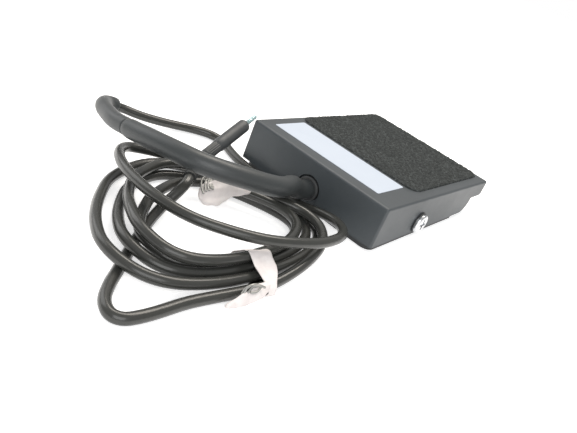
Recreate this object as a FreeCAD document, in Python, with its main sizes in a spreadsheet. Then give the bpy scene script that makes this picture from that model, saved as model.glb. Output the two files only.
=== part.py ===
import FreeCAD, Part
import Sketcher
import math
import os
import re

# Foot pedal of a sewing machine: a steel treadle rocking on a base plate, its cable and jack plug.
# Millimetres. X is the width, +Y points to the toe end, Z is up and the floor is z = 0.
# The origin is the middle of the pedal's own footprint on the floor.

Vector = FreeCAD.Vector

DIMENSIONS = {
    # treadle
    "cover_width": 100.0,
    "cover_length": 145.0,
    "cover_wall": 1.5,
    "cover_back_height": 28.9,
    "cover_front_height": 25.1,
    "skirt_gap": 4.0,
    "toe_setback": 17.7,
    "toe_height": 13.5,
    "toe_radius": 9.0,
    "nose_radius": 2.5,
    "edge_radius": 1.4,
    "pedal_travel": 3.0,
    # grip pad and label on the treadle
    "pad_thickness": 0.9,
    "pad_start": 43.0,
    "pad_toe_margin": 2.4,
    "pad_left_margin": 1.8,
    "pad_right_margin": 7.0,
    "pad_corner": 8.0,
    "label_thickness": 0.2,
    "label_start": 10.5,
    "label_length": 30.0,
    "label_left_margin": 7.6,
    "label_right_margin": 14.0,
    "label_corner": 1.0,
    # sole and base plate
    "sole_thickness": 2.0,
    "plate_thickness": 1.5,
    "plate_side_gap": 0.5,
    "plate_rear_gap": 1.2,
    "plate_toe_margin": 2.0,
    "plate_corner": 6.0,
    "flange_radius": 9.0,
    # pivot
    "pivot_setback": 50.5,
    "pivot_height": 10.8,
    "ear_radius": 8.0,
    "shoulder_radius": 3.0,
    "thread_radius": 2.0,
    "running_gap": 0.05,
    "seat_gap": 0.1,
    "spacer_thickness": 0.4,
    "spacer_radius": 5.5,
    "washer_thickness": 0.8,
    "washer_radius": 6.8,
    "head_thickness": 2.4,
    "head_radius": 6.2,
    "recess_depth": 1.2,
    "recess_length": 7.0,
    "recess_width": 1.4,
    "nut_thickness": 3.0,
    "nut_width": 7.0,
    "thread_overrun": 1.0,
    # stops, springs and the speed sensor
    "contact_gap": 0.3,
    "rest_setback": 14.5,
    "rest_side_inset": 18.0,
    "rest_post_radius": 3.0,
    "rest_cap_radius": 4.0,
    "rest_cap_height": 4.0,
    "stop_toe_setback": 34.5,
    "stop_side_inset": 12.0,
    "stop_radius": 4.0,
    "spring_setback": 102.5,
    "spring_offset": 22.0,
    "spring_radius": 4.4,
    "spring_wire": 1.2,
    "spring_turns": 6.0,
    "stud_radius": 3.2,
    "stud_height": 5.0,
    "cup_wall": 1.0,
    "cup_height": 3.0,
    "cup_clearance": 1.4,
    "sensor_setback": 87.5,
    "sensor_width": 26.0,
    "sensor_length": 18.0,
    "sensor_height": 11.0,
    "sensor_screw_offset": 9.5,
    "sensor_screw_radius": 2.5,
    "sensor_screw_height": 1.4,
    "plunger_radius": 2.5,
    "plunger_length": 10.5,
    "plunger_floor_gap": 0.6,
    "boss_radius": 4.0,
    "boss_height": 4.8,
    # gland, clamp and inner cable
    "gland_height": 11.5,
    "gland_radius": 7.2,
    "gland_neck_radius": 5.5,
    "gland_collar": 2.0,
    "gland_stand_off": 0.7,
    "notch_clearance": 1.1,
    "cable_diameter": 5.35,
    "clamp_setback": 23.0,
    "clamp_width": 18.0,
    "clamp_length": 8.0,
    "clamp_cap": 2.0,
    "clamp_screw_offset": 6.2,
    "clamp_screw_radius": 2.2,
    "clamp_screw_height": 1.5,
    "inner_cable_length": 30.0,
    "wire_diameter": 1.6,
    # cord, sleeves, plug and ties
    "sleeve_diameter": 10.8,
    "sleeve_end_diameter": 9.4,
    "coil_floor": 2.8,
    "coil_layer_step": 5.9,
    "plug_diameter": 7.4,
    "plug_grip_length": 24.0,
    "plug_neck_diameter": 6.6,
    "plug_relief_diameter": 6.0,
    "relief_bend": 6.0,
    "rib_radius": 3.6,
    "rib_width": 1.6,
    "rib_spacing": 3.2,
    "jack_diameter": 2.5,
    "jack_length": 12.0,
    "tie_width": 9.5,
    "tie_thickness": 0.5,
    "tie_clearance": 0.35,
    "tie_floor": 0.2,
    "tie_end_height": 5.0,
}

# Places that several pieces share, written with the names above.
REAR = "(-cover_length / 2)"
TOE = "(cover_length / 2)"
PLATE_TOP = "(sole_thickness + plate_thickness)"
PLATE_HALF = "(cover_width / 2 - cover_wall - plate_side_gap)"
PLATE_REAR = "(-cover_length / 2 + cover_wall + plate_rear_gap)"
STOP_Y = "(cover_length / 2 - stop_toe_setback)"
PLATE_FRONT = "(cover_length / 2 - stop_toe_setback + stop_radius + plate_toe_margin)"
PIVOT_Y = "(pivot_setback - cover_length / 2)"
NOTCH_RADIUS = "(gland_radius + notch_clearance)"
SENSOR_Y = "(sensor_setback - cover_length / 2)"
SENSOR_TOP = "(sole_thickness + plate_thickness + sensor_height)"
CLAMP_Y = "(clamp_setback - cover_length / 2)"
CLAMP_TOP = "(gland_height + cable_diameter / 2 + clamp_cap)"
SLOPE = "((cover_back_height - cover_front_height) / cover_length)"

# Cord points are measured from the gland's outer face, at floor level. Each list is chosen by hand.
SLEEVE_ROUTE = [
    (0.0, 0.0, 11.5), (0.0, -5.2, 11.5), (0.3, -11.8, 13.8), (1.2, -18.6, 17.9),
    (7.7, -36.9, 22.6), (4.9, -52.3, 26.0), (-0.3, -64.5, 28.6), (-6.0, -73.4, 29.9),
    (-13.3, -79.9, 30.3), (-24.2, -82.7, 29.6), (-37.2, -83.6, 27.6), (-50.3, -83.4, 25.0),
    (-61.9, -81.6, 22.4),
]
SLEEVE_END_ROUTE = [
    (-61.9, -81.6, 22.4), (-74.4, -79.7, 19.6), (-86.2, -74.8, 17.2), (-96.4, -69.8, 15.2),
    (-104.4, -63.7, 13.2), (-108.6, -57.6, 11.2), (-107.9, -51.4, 9.4),
]
LEAD_ROUTE = [
    (-107.9, -51.4, 9.4), (-106.9, -45.2, 7.6), (-101.8, -38.2, 6.0), (-97.7, -29.5, 4.6),
    (-92.9, -18.7, 3.4), (-87.2, -6.7, 2.8), (-78.1, 2.4, 2.8), (-68.0, 3.4, 2.8),
    (-57.5, -1.4, 2.8), (-44.0, -5.2, 2.8), (-30.0, -5.6, 2.8), (-16.0, -5.4, 2.8),
    (2.0, -5.3, 2.8), (15.0, -4.6, 6.4), (31.0, -9.0, 11.0), (44.0, -22.8, 14.0),
    (45.4, -44.3, 15.6), (41.1, -62.6, 17.3), (34.7, -78.6, 18.4), (23.5, -91.9, 19.0),
    (8.8, -102.6, 18.8), (-11.1, -105.7, 18.0), (-30.7, -102.7, 16.4), (-46.9, -96.2, 14.2),
    (-59.6, -86.4, 11.4), (-66.2, -76.4, 9.0), (-64.4, -67.4, 7.6), (-60.6, -57.4, 6.2),
    (-48.5, -35.4, 3.9), (-31.5, -25.8, 2.8), (-12.0, -19.2, 2.8), (4.0, -11.8, 2.8),
]
TAIL_ROUTE = [
    (16.0, -17.6, 8.8), (30.0, -21.6, 9.0), (40.6, -35.5, 8.8), (45.4, -53.0, 6.8),
    (46.8, -68.0, 4.4), (46.8, -82.0, 2.8), (44.4, -98.7, 2.8), (41.9, -111.6, 2.8),
    (39.4, -125.8, 2.8), (39.0, -139.0, 2.8), (38.1, -148.0, 2.8), (36.4, -155.0, 2.8),
    (31.5, -157.6, 2.8), (24.6, -154.6, 2.8), (18.6, -148.1, 2.8), (11.9, -138.3, 2.8),
    (1.0, -120.6, 2.8), (-11.6, -100.1, 2.8), (-18.6, -86.6, 5.8), (-18.9, -82.0, 10.6),
    (-20.2, -75.9, 14.7), (-23.1, -71.9, 15.0),
]
RELIEF_START = (-34.9, -51.2, 18.3)
JACK_START = (-43.0, -16.7, 29.8)
WIRE_ROUTE = [
    (1.2, 30.0, 11.5), (1.2, 36.0, 11.5), (2.4, 46.0, 10.4), (4.4, 57.0, 9.2), (5.2, 68.0, 8.5),
    (5.2, 79.2, 8.5),
]

# The four sides of the coil, in the order that the cord passes them: the direction of the cord
# there, the side's own direction, how far out the first turn lies, where along the side it lies,
# the spacing of the turns, the extra inset of the upper layer and the lift over the tail.
COIL_SIDES = [
    ((1.0, 0.44), (0, 1), -11.8, 4.0, 6.5, 4.8, 0.0),
    ((0.0, -1.0), (1, 0), 40.2, -65.8, 6.15, -1.5, 0.0),
    ((-1.0, 0.4), (0, -1), 139.0, 1.7, 9.3, 6.4, 6.0),
    ((-0.57, 0.8), (-1, 0), 52.0, -94.6, 14.4, 8.2, 0.0),
]
COIL_QUARTERS = 16
COIL_TURNING_QUARTER = 10
ARC_SHARE = 0.45

# Where each tie crosses the cords and along which direction, then the loose end that it leaves.
FRONT_TIE = ((41.0, -84.5), (-0.3, -0.95))
FRONT_TIE_END = [
    (49.7, -87.2), (51.6, -91.4), (54.2, -95.8), (51.9, -99.6), (54.8, -104.0), (52.4, -107.0),
    (51.4, -111.4), (53.4, -115.2),
]
REAR_TIE = ((-22.0, -43.8), (0.75, 0.66))
REAR_TIE_END = [(-15.9, -50.7), (-14.6, -54.6), (-18.4, -57.6), (-15.2, -61.8), (-18.0, -66.0)]
FRONT_TIE_FOOT = 0.6
REAR_TIE_FOOT = 3.6

doc = FreeCAD.newDocument("pedal")
sheet = doc.addObject("Spreadsheet::Sheet", "dims")
pieces = []


def fill_sheet():
    """Write each driving dimension into the sheet under its alias."""
    for row, (alias, value) in enumerate(DIMENSIONS.items(), start=1):
        sheet.set(f"A{row}", alias)
        sheet.set(f"B{row}", str(value))
        sheet.setAlias(f"B{row}", alias)
    doc.recompute()


def size(alias):
    """Return one driving dimension as the sheet holds it."""
    return float(sheet.get(alias))


def from_sheet(text):
    """Point every dimension's name in an expression at the sheet."""
    return re.sub(r"[a-z_]+", lambda m: "dims." + m[0] if m[0] in DIMENSIONS else m[0], text)


def bind(item, **expressions):
    """Bind properties of an object to expressions of the sheet's names."""
    for name, text in expressions.items():
        item.setExpression(name, from_sheet(text))
    return item


def put(item, x, y, z):
    """Bind the place of an object."""
    for axis, text in zip("xyz", (x, y, z)):
        item.setExpression(f"Placement.Base.{axis}", from_sheet(text))
    return item


def piece(item, label):
    """Name an object as a sub-part of the pedal."""
    item.Label = label
    pieces.append(item)
    return item


def box(name, length, width, height, x, y, z):
    """Make a box whose lowest corner is at x, y, z."""
    item = doc.addObject("Part::Box", name)
    bind(item, Length=length, Width=width, Height=height)
    return put(item, x, y, z)


def cylinder(name, radius, height, x, y, z, axis="Z"):
    """Make a cylinder that grows from x, y, z along +X, +Y or +Z."""
    item = doc.addObject("Part::Cylinder", name)
    turn = {"X": (Vector(0, 1, 0), 90), "Y": (Vector(1, 0, 0), -90), "Z": (Vector(0, 0, 1), 0)}
    item.Placement = FreeCAD.Placement(Vector(), FreeCAD.Rotation(*turn[axis]))
    bind(item, Radius=radius, Height=height)
    return put(item, x, y, z)


def fuse(name, parts):
    """Join several objects."""
    item = doc.addObject("Part::MultiFuse", name)
    item.Shapes = parts
    return item


def cut(name, base, tool):
    """Cut one object out of another."""
    item = doc.addObject("Part::Cut", name)
    item.Base = base
    item.Tool = tool
    return item


def feature(name, shape):
    """Hold a shape that no primitive or sketch gives."""
    item = doc.addObject("Part::Feature", name)
    item.Shape = shape
    return piece(item, name)


def outline(body, plane, corners):
    """Draw a closed outline in a body's own plane, with each corner bound to the sheet."""
    sketch = body.newObject("Sketcher::SketchObject", body.Name + "_outline")
    origin_plane = next(item for item in body.Origin.OriginFeatures if item.Role == plane)
    sketch.AttachmentSupport = [(origin_plane, "")]
    sketch.MapMode = "FlatFace"
    count = len(corners)
    # a rough polygon first: the constraints then move its corners to their places
    rough = [Vector(math.cos(2 * math.pi * k / count), math.sin(2 * math.pi * k / count), 0)
             for k in range(count)]
    for k in range(count):
        sketch.addGeometry(Part.LineSegment(rough[k], rough[(k + 1) % count]))
    for k, (across, up) in enumerate(corners):
        sketch.addConstraint(Sketcher.Constraint("Coincident", k, 2, (k + 1) % count, 1))
        for kind, text in (("DistanceX", across), ("DistanceY", up)):
            index = sketch.addConstraint(Sketcher.Constraint(kind, -1, 1, k, 1, 1.0))
            sketch.setExpression(f"Constraints[{index}]", from_sheet(text))
    return sketch


def pad(body, sketch, length, middle=False):
    """Grow an outline into a solid."""
    item = body.newObject("PartDesign::Pad", body.Name + "_pad")
    item.Profile = sketch
    item.Midplane = middle
    bind(item, Length=length)
    doc.recompute()
    return item


def round_edges(body, base, name, radius, wanted):
    """Round the edges of a body's last feature that a test picks."""
    names = [f"Edge{k}" for k, edge in enumerate(base.Shape.Edges, start=1) if wanted(edge)]
    item = body.newObject("PartDesign::Fillet", name)
    item.Base = (base, names)
    bind(item, Radius=radius)
    doc.recompute()
    return item


def runs_along(edge, axis):
    """Tell whether an edge is straight and parallel to an axis."""
    ends = [vertex.Point for vertex in edge.Vertexes]
    if len(ends) < 2 or not isinstance(edge.Curve, (Part.Line, Part.LineSegment)):
        return False
    return abs((ends[1] - ends[0]).normalize().dot(axis)) > 0.999


def lies_at(edge, y, z):
    """Tell whether an edge's middle has this y and z."""
    middle = edge.CenterOfMass
    return abs(middle.y - y) < 0.01 and abs(middle.z - z) < 0.01


def cover_shell():
    """Make the treadle's folded shell: its side outline, rounded, then hollowed from below."""
    toe_y = TOE + " - toe_setback"
    body = doc.addObject("PartDesign::Body", "cover_body")
    sketch = outline(body, "YZ_Plane", [
        (REAR, "skirt_gap"), (toe_y, "skirt_gap"), (toe_y, "toe_height"), (TOE, "toe_height"),
        (TOE, "cover_front_height"), (REAR, "cover_back_height")])
    solid = pad(body, sketch, "cover_width", middle=True)
    toe = size("cover_length") / 2
    corner_y = toe - size("toe_setback")
    along_x = Vector(1, 0, 0)
    solid = round_edges(body, solid, "toe_curve", "toe_radius", lambda edge: (
        runs_along(edge, along_x) and lies_at(edge, corner_y, size("skirt_gap"))))
    solid = round_edges(body, solid, "nose_curve", "nose_radius", lambda edge: (
        runs_along(edge, along_x) and lies_at(edge, toe, size("toe_height"))))
    top = max(solid.Shape.Faces, key=lambda face: face.CenterOfMass.z)
    rim = [edge.hashCode() for edge in top.Edges]
    solid = round_edges(body, solid, "folds", "edge_radius", lambda edge: (
        edge.hashCode() in rim or (runs_along(edge, Vector(0, 0, 1))
                                   and abs(abs(edge.CenterOfMass.y) - toe) < 0.01)))
    inner = body.newObject("PartDesign::Pocket", "hollow")
    inner_rear = REAR + " + cover_wall"
    inner_toe = TOE + " - cover_wall"
    inner.Profile = outline(body, "YZ_Plane", [
        (inner_rear, "-cover_wall"), (inner_toe, "-cover_wall"),
        (inner_toe, underside("(" + inner_toe + ")")),
        (inner_rear, underside("(" + inner_rear + ")"))])
    inner.Midplane = True
    bind(inner, Length="cover_width - 2 * cover_wall")
    doc.recompute()
    return body


def treadle_cover():
    """Cut the cable notch and the pivot holes out of the shell."""
    deep = "cover_wall * 2"
    arch = cylinder("notch_arch", NOTCH_RADIUS, deep, "0", REAR + " - cover_wall / 2",
                    "gland_height", "Y")
    slot = box("notch_slot", "2 * " + NOTCH_RADIUS, deep, "gland_height", "-" + NOTCH_RADIUS,
               REAR + " - cover_wall / 2", "0")
    bore = cylinder("pivot_bore", "shoulder_radius + running_gap", "cover_width * 1.1",
                    "-cover_width * 0.55", PIVOT_Y, "pivot_height", "X")
    piece(cut("treadle_cover", cover_shell(), fuse("cover_cuts", [arch, slot, bore])),
          "treadle_cover")


def on_slope(item, x, y):
    """Lay an object on the treadle's sloping top, its own y measured down the slope."""
    item.Placement = FreeCAD.Placement(Vector(), FreeCAD.Rotation(Vector(1, 0, 0), 1))
    bind(item, **{"Placement.Rotation.Angle": "-atan(" + SLOPE + ")"})
    return put(item, x, y, "cover_back_height - " + SLOPE + " * (" + y + " + cover_length / 2)")


def sheet_on_top(name, left, right, start, end, thickness, corner):
    """Make a thin rounded sheet on the treadle's top."""
    body = doc.addObject("PartDesign::Body", name)
    sketch = outline(body, "XY_Plane", [(left, start), (right, start), (right, end), (left, end)])
    solid = pad(body, sketch, thickness)
    round_edges(body, solid, name + "_corners", corner,
                lambda edge: runs_along(edge, Vector(0, 0, 1)))
    piece(on_slope(body, "0", REAR), name)


def under_top(name, solid, y):
    """Hang a solid, made downwards from z = 0, on the treadle's sloping underside."""
    solid.Label = name
    solid.Placement = FreeCAD.Placement(Vector(), FreeCAD.Rotation(Vector(1, 0, 0), 1))
    bind(solid, **{"Placement.Rotation.Angle": "-atan(" + SLOPE + ")"})
    put(solid, "0", y, underside(y))
    return piece(solid, name)


def underside(y):
    """Write the height of the treadle's underside at a place along its length."""
    return f"(cover_back_height - {SLOPE} * ({y} + cover_length / 2) - cover_wall)"


def travel_at(y):
    """Write how far the treadle's underside comes down at a place in front of the pivot."""
    return f"(({y} - {PIVOT_Y}) * sin(pedal_travel))"


def treadle_parts():
    """Make what moves with the treadle."""
    treadle_cover()
    sheet_on_top("grip_pad", "-cover_width / 2 + pad_left_margin",
                 "cover_width / 2 - pad_right_margin", "pad_start",
                 "cover_length - pad_toe_margin", "pad_thickness", "pad_corner")
    sheet_on_top("rating_label", "-cover_width / 2 + label_left_margin",
                 "cover_width / 2 - label_right_margin", "label_start",
                 "label_start + label_length", "label_thickness", "label_corner")
    rim = cylinder("boss_rim", "boss_radius", "boss_height", "0", "0", "-boss_height")
    foot = cylinder("boss_foot", "boss_radius * 1.4", "cover_wall * 0.6", "0", "0",
                    "-cover_wall * 0.6")
    under_top("press_boss", fuse("press_boss", [rim, foot]), SENSOR_Y)
    spring_y = "(spring_setback - cover_length / 2)"
    for side, sign in (("left", "-"), ("right", "")):
        x = sign + "spring_offset"
        inner_radius = "(spring_radius + spring_wire / 2 + cup_clearance)"
        ring = cylinder(f"cup_{side}_ring", inner_radius + " + cup_wall", "cup_height", x, "0",
                        "-cup_height")
        hole = cylinder(f"cup_{side}_hole", inner_radius, "cup_height * 2", x, "0",
                        "-cup_height * 2")
        under_top(f"spring_cup_{side}", cut(f"spring_cup_{side}", ring, hole), spring_y)


def sole():
    """Make the rubber sole under the base plate."""
    body = doc.addObject("PartDesign::Body", "sole_mat")
    sketch = outline(body, "XY_Plane", [
        ("-" + PLATE_HALF, PLATE_REAR), (PLATE_HALF, PLATE_REAR), (PLATE_HALF, PLATE_FRONT),
        ("-" + PLATE_HALF, PLATE_FRONT)])
    solid = pad(body, sketch, "sole_thickness")
    round_edges(body, solid, "sole_corners", "plate_corner",
                lambda edge: runs_along(edge, Vector(0, 0, 1)))
    piece(body, "sole_mat")


def base_plate():
    """Make the steel base: a plate, two pivot ears and the upright flange that holds the gland."""
    floor = doc.addObject("PartDesign::Body", "base_floor")
    sketch = outline(floor, "XY_Plane", [
        ("-" + PLATE_HALF, PLATE_REAR), (PLATE_HALF, PLATE_REAR), (PLATE_HALF, PLATE_FRONT),
        ("-" + PLATE_HALF, PLATE_FRONT)])
    solid = pad(floor, sketch, "plate_thickness")
    round_edges(floor, solid, "plate_corners", "plate_corner",
                lambda edge: runs_along(edge, Vector(0, 0, 1)))
    put(floor, "0", "0", "sole_thickness")
    solids = [floor]
    for side, edge in (("left", "-" + PLATE_HALF), ("right", PLATE_HALF + " - plate_thickness")):
        solids.append(box(f"ear_{side}_foot", "plate_thickness", "2 * ear_radius",
                          "pivot_height - " + PLATE_TOP, edge, PIVOT_Y + " - ear_radius",
                          PLATE_TOP))
        solids.append(cylinder(f"ear_{side}_eye", "ear_radius", "plate_thickness", edge, PIVOT_Y,
                               "pivot_height", "X"))
    solids.append(box("flange_foot", "2 * flange_radius", "plate_thickness",
                      "gland_height - " + PLATE_TOP, "-flange_radius", PLATE_REAR, PLATE_TOP))
    solids.append(cylinder("flange_eye", "flange_radius", "plate_thickness", "0", PLATE_REAR,
                           "gland_height", "Y"))
    holes = [
        cylinder("thread_holes", "thread_radius + running_gap", "cover_width * 1.1",
                 "-cover_width * 0.55", PIVOT_Y, "pivot_height", "X"),
        cylinder("gland_hole", "gland_neck_radius + running_gap", "plate_thickness * 3", "0",
                 PLATE_REAR + " - plate_thickness", "gland_height", "Y"),
    ]
    piece(cut("base_plate", fuse("base_steel", solids), fuse("base_holes", holes)), "base_plate")


def disc_with_hole(name, radius, hole, thickness, x):
    """Make a washer on the pivot axis."""
    disc = cylinder(name + "_disc", radius, thickness, x, PIVOT_Y, "pivot_height", "X")
    bore = cylinder(name + "_bore", hole, thickness + " * 3", x + " - " + thickness, PIVOT_Y,
                    "pivot_height", "X")
    piece(cut(name, disc, bore), name)


def pivot_side(side, sign):
    """Make one pivot: spacer, washer, shoulder screw and nut, stacked outwards from the ear."""
    ear = PLATE_HALF
    wall = "(cover_width / 2)"

    def outward(start, thickness):
        """Write where a disc begins, so that it lies outwards of a distance on either side."""
        return start if sign > 0 else f"-({start}) - {thickness}"

    disc_with_hole(f"pivot_spacer_{side}", "spacer_radius", "shoulder_radius + running_gap",
                   "spacer_thickness", outward(ear, "spacer_thickness"))
    washer_at = wall + " + seat_gap"
    disc_with_hole(f"pivot_washer_{side}", "washer_radius", "shoulder_radius + running_gap",
                   "washer_thickness", outward(washer_at, "washer_thickness"))
    head_at = washer_at + " + washer_thickness"
    shoulder_length = f"({head_at} - {ear})"
    head = cylinder(f"head_{side}", "head_radius", "head_thickness",
                    outward(head_at, "head_thickness"), PIVOT_Y, "pivot_height", "X")
    doc.recompute()
    dome = doc.addObject("Part::Fillet", f"dome_{side}")
    dome.Base = head
    outer = [k for k, edge in enumerate(head.Shape.Edges, start=1)
             if abs(edge.CenterOfMass.x) > size("cover_width") / 2 + size("head_thickness")
             and isinstance(edge.Curve, Part.Circle)]
    rim = size("head_thickness") * 0.6
    dome.Edges = [(k, rim, rim) for k in outer]
    shoulder = cylinder(f"shoulder_{side}", "shoulder_radius", shoulder_length,
                        outward(ear, shoulder_length), PIVOT_Y, "pivot_height", "X")
    thread_length = "(plate_thickness + nut_thickness + thread_overrun)"
    thread = cylinder(f"thread_{side}", "thread_radius", thread_length,
                      outward(f"({ear} - {thread_length})", thread_length), PIVOT_Y,
                      "pivot_height", "X")
    slot_at = outward(f"({head_at} + head_thickness - recess_depth)", "recess_depth")
    slots = [
        box(f"slot_{side}_a", "recess_depth", "recess_length", "recess_width", slot_at,
            PIVOT_Y + " - recess_length / 2", "pivot_height - recess_width / 2"),
        box(f"slot_{side}_b", "recess_depth", "recess_width", "recess_length", slot_at,
            PIVOT_Y + " - recess_width / 2", "pivot_height - recess_length / 2"),
    ]
    screw = fuse(f"screw_{side}_solid", [dome, shoulder, thread])
    piece(cut(f"pivot_screw_{side}", screw, fuse(f"recess_{side}", slots)),
          f"pivot_screw_{side}")
    nut_at = outward(f"({ear} - plate_thickness - nut_thickness)", "nut_thickness")
    nut = doc.addObject("Part::Prism", f"nut_{side}")
    nut.Polygon = 6
    nut.Placement = FreeCAD.Placement(Vector(), FreeCAD.Rotation(Vector(0, 1, 0), 90))
    bind(nut, Circumradius="nut_width / 2 / cos(30)", Height="nut_thickness")
    put(nut, nut_at, PIVOT_Y, "pivot_height")
    bore = cylinder(f"nut_{side}_bore", "thread_radius + running_gap", "nut_thickness * 3",
                    nut_at + " - nut_thickness", PIVOT_Y, "pivot_height", "X")
    piece(cut(f"pivot_nut_{side}", nut, bore), f"pivot_nut_{side}")


def stops(side, sign):
    """Make the posts that hold the treadle's heel at rest and its toe when pressed."""
    rest_y = "(rest_setback - cover_length / 2)"
    rest_x = sign + "(" + PLATE_HALF + " - rest_side_inset)"
    cap_top = underside(rest_y) + " - " + SLOPE + " * rest_cap_radius - contact_gap"
    post_height = f"({cap_top} - rest_cap_height - {PLATE_TOP})"
    piece(cylinder(f"rest_post_{side}", "rest_post_radius", post_height, rest_x, rest_y,
                   PLATE_TOP), f"rest_post_{side}")
    piece(cylinder(f"rest_cap_{side}", "rest_cap_radius", "rest_cap_height", rest_x, rest_y,
                   f"{PLATE_TOP} + {post_height}"), f"rest_cap_{side}")
    top = underside(STOP_Y) + " - " + travel_at(STOP_Y + " + stop_radius") + " - contact_gap"
    piece(cylinder(f"stop_buffer_{side}", "stop_radius", f"{top} - {PLATE_TOP}",
                   sign + "(" + PLATE_HALF + " - stop_side_inset)", STOP_Y, PLATE_TOP),
          f"stop_buffer_{side}")
    piece(cylinder(f"spring_stud_{side}", "stud_radius", "stud_height", sign + "spring_offset",
                   "(spring_setback - cover_length / 2)", PLATE_TOP), f"spring_stud_{side}")


def sensor():
    """Make the speed sensor, its two screws and the plunger that the treadle's boss presses."""
    block = box("sensor_block", "sensor_width", "sensor_length", "sensor_height",
                "-sensor_width / 2", SENSOR_Y + " - sensor_length / 2", PLATE_TOP)
    plunger_top = underside(SENSOR_Y) + " - boss_height - " + SLOPE + " * boss_radius - contact_gap"
    plunger_foot = f"({plunger_top} - plunger_length)"
    well_foot = f"({plunger_foot} - {travel_at(SENSOR_Y)} - plunger_floor_gap)"
    well = cylinder("sensor_well", "plunger_radius + running_gap",
                    f"{SENSOR_TOP} - {well_foot} + 1", "0", SENSOR_Y, well_foot)
    piece(cut("sensor_body", block, well), "sensor_body")
    piece(cylinder("sensor_plunger", "plunger_radius", "plunger_length", "0", SENSOR_Y,
                   plunger_foot), "sensor_plunger")
    for side, sign in (("left", "-"), ("right", "")):
        piece(cylinder(f"sensor_screw_{side}", "sensor_screw_radius", "sensor_screw_height",
                       sign + "sensor_screw_offset", SENSOR_Y, SENSOR_TOP),
              f"sensor_screw_{side}")


def gland_and_clamp():
    """Make the rubber gland in the rear flange, the cable's inner end and the clamp on it."""
    face = REAR + " - gland_stand_off"
    inner = PLATE_REAR + " + plate_thickness"
    solids = [
        cylinder("gland_head", "gland_radius", f"{PLATE_REAR} - ({face})", "0", face,
                 "gland_height", "Y"),
        cylinder("gland_neck", "gland_neck_radius", "plate_thickness", "0", PLATE_REAR,
                 "gland_height", "Y"),
        cylinder("gland_tail", "gland_radius", "gland_collar", "0", inner, "gland_height", "Y"),
    ]
    bore = cylinder("gland_bore", "cable_diameter / 2 + running_gap", "cover_wall * 10", "0",
                    REAR + " - cover_wall * 2", "gland_height", "Y")
    piece(cut("cable_gland", fuse("gland_rubber", solids), bore), "cable_gland")
    piece(cylinder("inner_cable", "cable_diameter / 2", "inner_cable_length", "0", face,
                   "gland_height", "Y"), "inner_cable")
    block = box("clamp_block", "clamp_width", "clamp_length", CLAMP_TOP + " - " + PLATE_TOP,
                "-clamp_width / 2", CLAMP_Y + " - clamp_length / 2", PLATE_TOP)
    hole = cylinder("clamp_hole", "cable_diameter / 2 + running_gap", "clamp_length * 2", "0",
                    CLAMP_Y + " - clamp_length", "gland_height", "Y")
    piece(cut("cable_clamp", block, hole), "cable_clamp")
    for side, sign in (("left", "-"), ("right", "")):
        piece(cylinder(f"clamp_screw_{side}", "clamp_screw_radius", "clamp_screw_height",
                       sign + "clamp_screw_offset", CLAMP_Y, CLAMP_TOP), f"clamp_screw_{side}")


def arc_edge(start, corner, end):
    """Return the arc that leaves start towards corner and reaches end, and its radius."""
    reach = (corner - start).Length
    inward = (corner - start).normalize()
    outward = (end - corner).normalize()
    turn = inward.getAngle(outward)
    if turn < 1e-6:
        return Part.LineSegment(start, end).toShape(), math.inf
    radius = reach / math.tan(turn / 2)
    to_corner = (start + end) * 0.5 - corner
    gap = math.hypot(radius, reach) - radius
    middle = corner + to_corner.normalize() * gap
    return Part.Arc(start, middle, end).toShape(), radius


def route_edges(points):
    """Join route points by straight runs with an arc at each turn, as large as its runs allow."""
    edges = []
    radii = []
    last = points[0]
    for before, corner, after in zip(points, points[1:], points[2:]):
        reach = ARC_SHARE * min((corner - before).Length, (after - corner).Length)
        start = corner + (before - corner).normalize() * reach
        end = corner + (after - corner).normalize() * reach
        edges.append(Part.LineSegment(last, start).toShape())
        arc, radius = arc_edge(start, corner, end)
        edges.append(arc)
        radii.append(radius)
        last = end
    edges.append(Part.LineSegment(last, points[-1]).toShape())
    return edges, radii


def biarc_edges(start, start_way, end, end_way):
    """Return the two equal-reach arcs from one point and direction to the next, and their radii."""
    gap = end - start
    both = start_way + end_way
    across = 2 * (1 - start_way.dot(end_way))
    along = gap.dot(both)
    if across < 1e-9:
        reach = gap.dot(gap) / (4 * gap.dot(end_way))
    else:
        reach = (math.sqrt(along * along + across * gap.dot(gap)) - along) / across
    first = start + start_way * reach
    second = end - end_way * reach
    joint = (first + second) * 0.5
    one, radius_one = arc_edge(start, first, joint)
    two, radius_two = arc_edge(joint, second, end)
    return [one, two], [radius_one, radius_two]


def pipe(edges, diameter):
    """Sweep a round section along edges that meet tangentially."""
    spine = Part.Wire(edges)
    first = edges[0]
    start = first.valueAt(first.FirstParameter)
    way = first.tangentAt(first.FirstParameter)
    section = Part.Wire([Part.makeCircle(diameter / 2, start, way)])
    shell = Part.BRepOffsetAPI.MakePipeShell(spine)
    shell.add(section)
    shell.build()
    shell.makeSolid()
    return shell.shape()


def report(name, edges, radii, diameter, solid):
    """Print a tube's length, its tightest arcs and how its volume compares."""
    length = sum(edge.Length for edge in edges)
    ratio = solid.Volume / (math.pi * diameter ** 2 / 4 * length)
    radii_text = " ".join(f"{radius:.0f}" for radius in sorted(radii)[:6])
    print(f"{name}: length {length:.1f}, smallest radii {radii_text}, volume ratio {ratio:.4f}")
    return length


def from_exit(points):
    """Move route points from the gland's outer face into the part's frame."""
    exit_y = -size("cover_length") / 2 - size("gland_stand_off")
    return [Vector(x, exit_y + y, z) for x, y, z in points]


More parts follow.
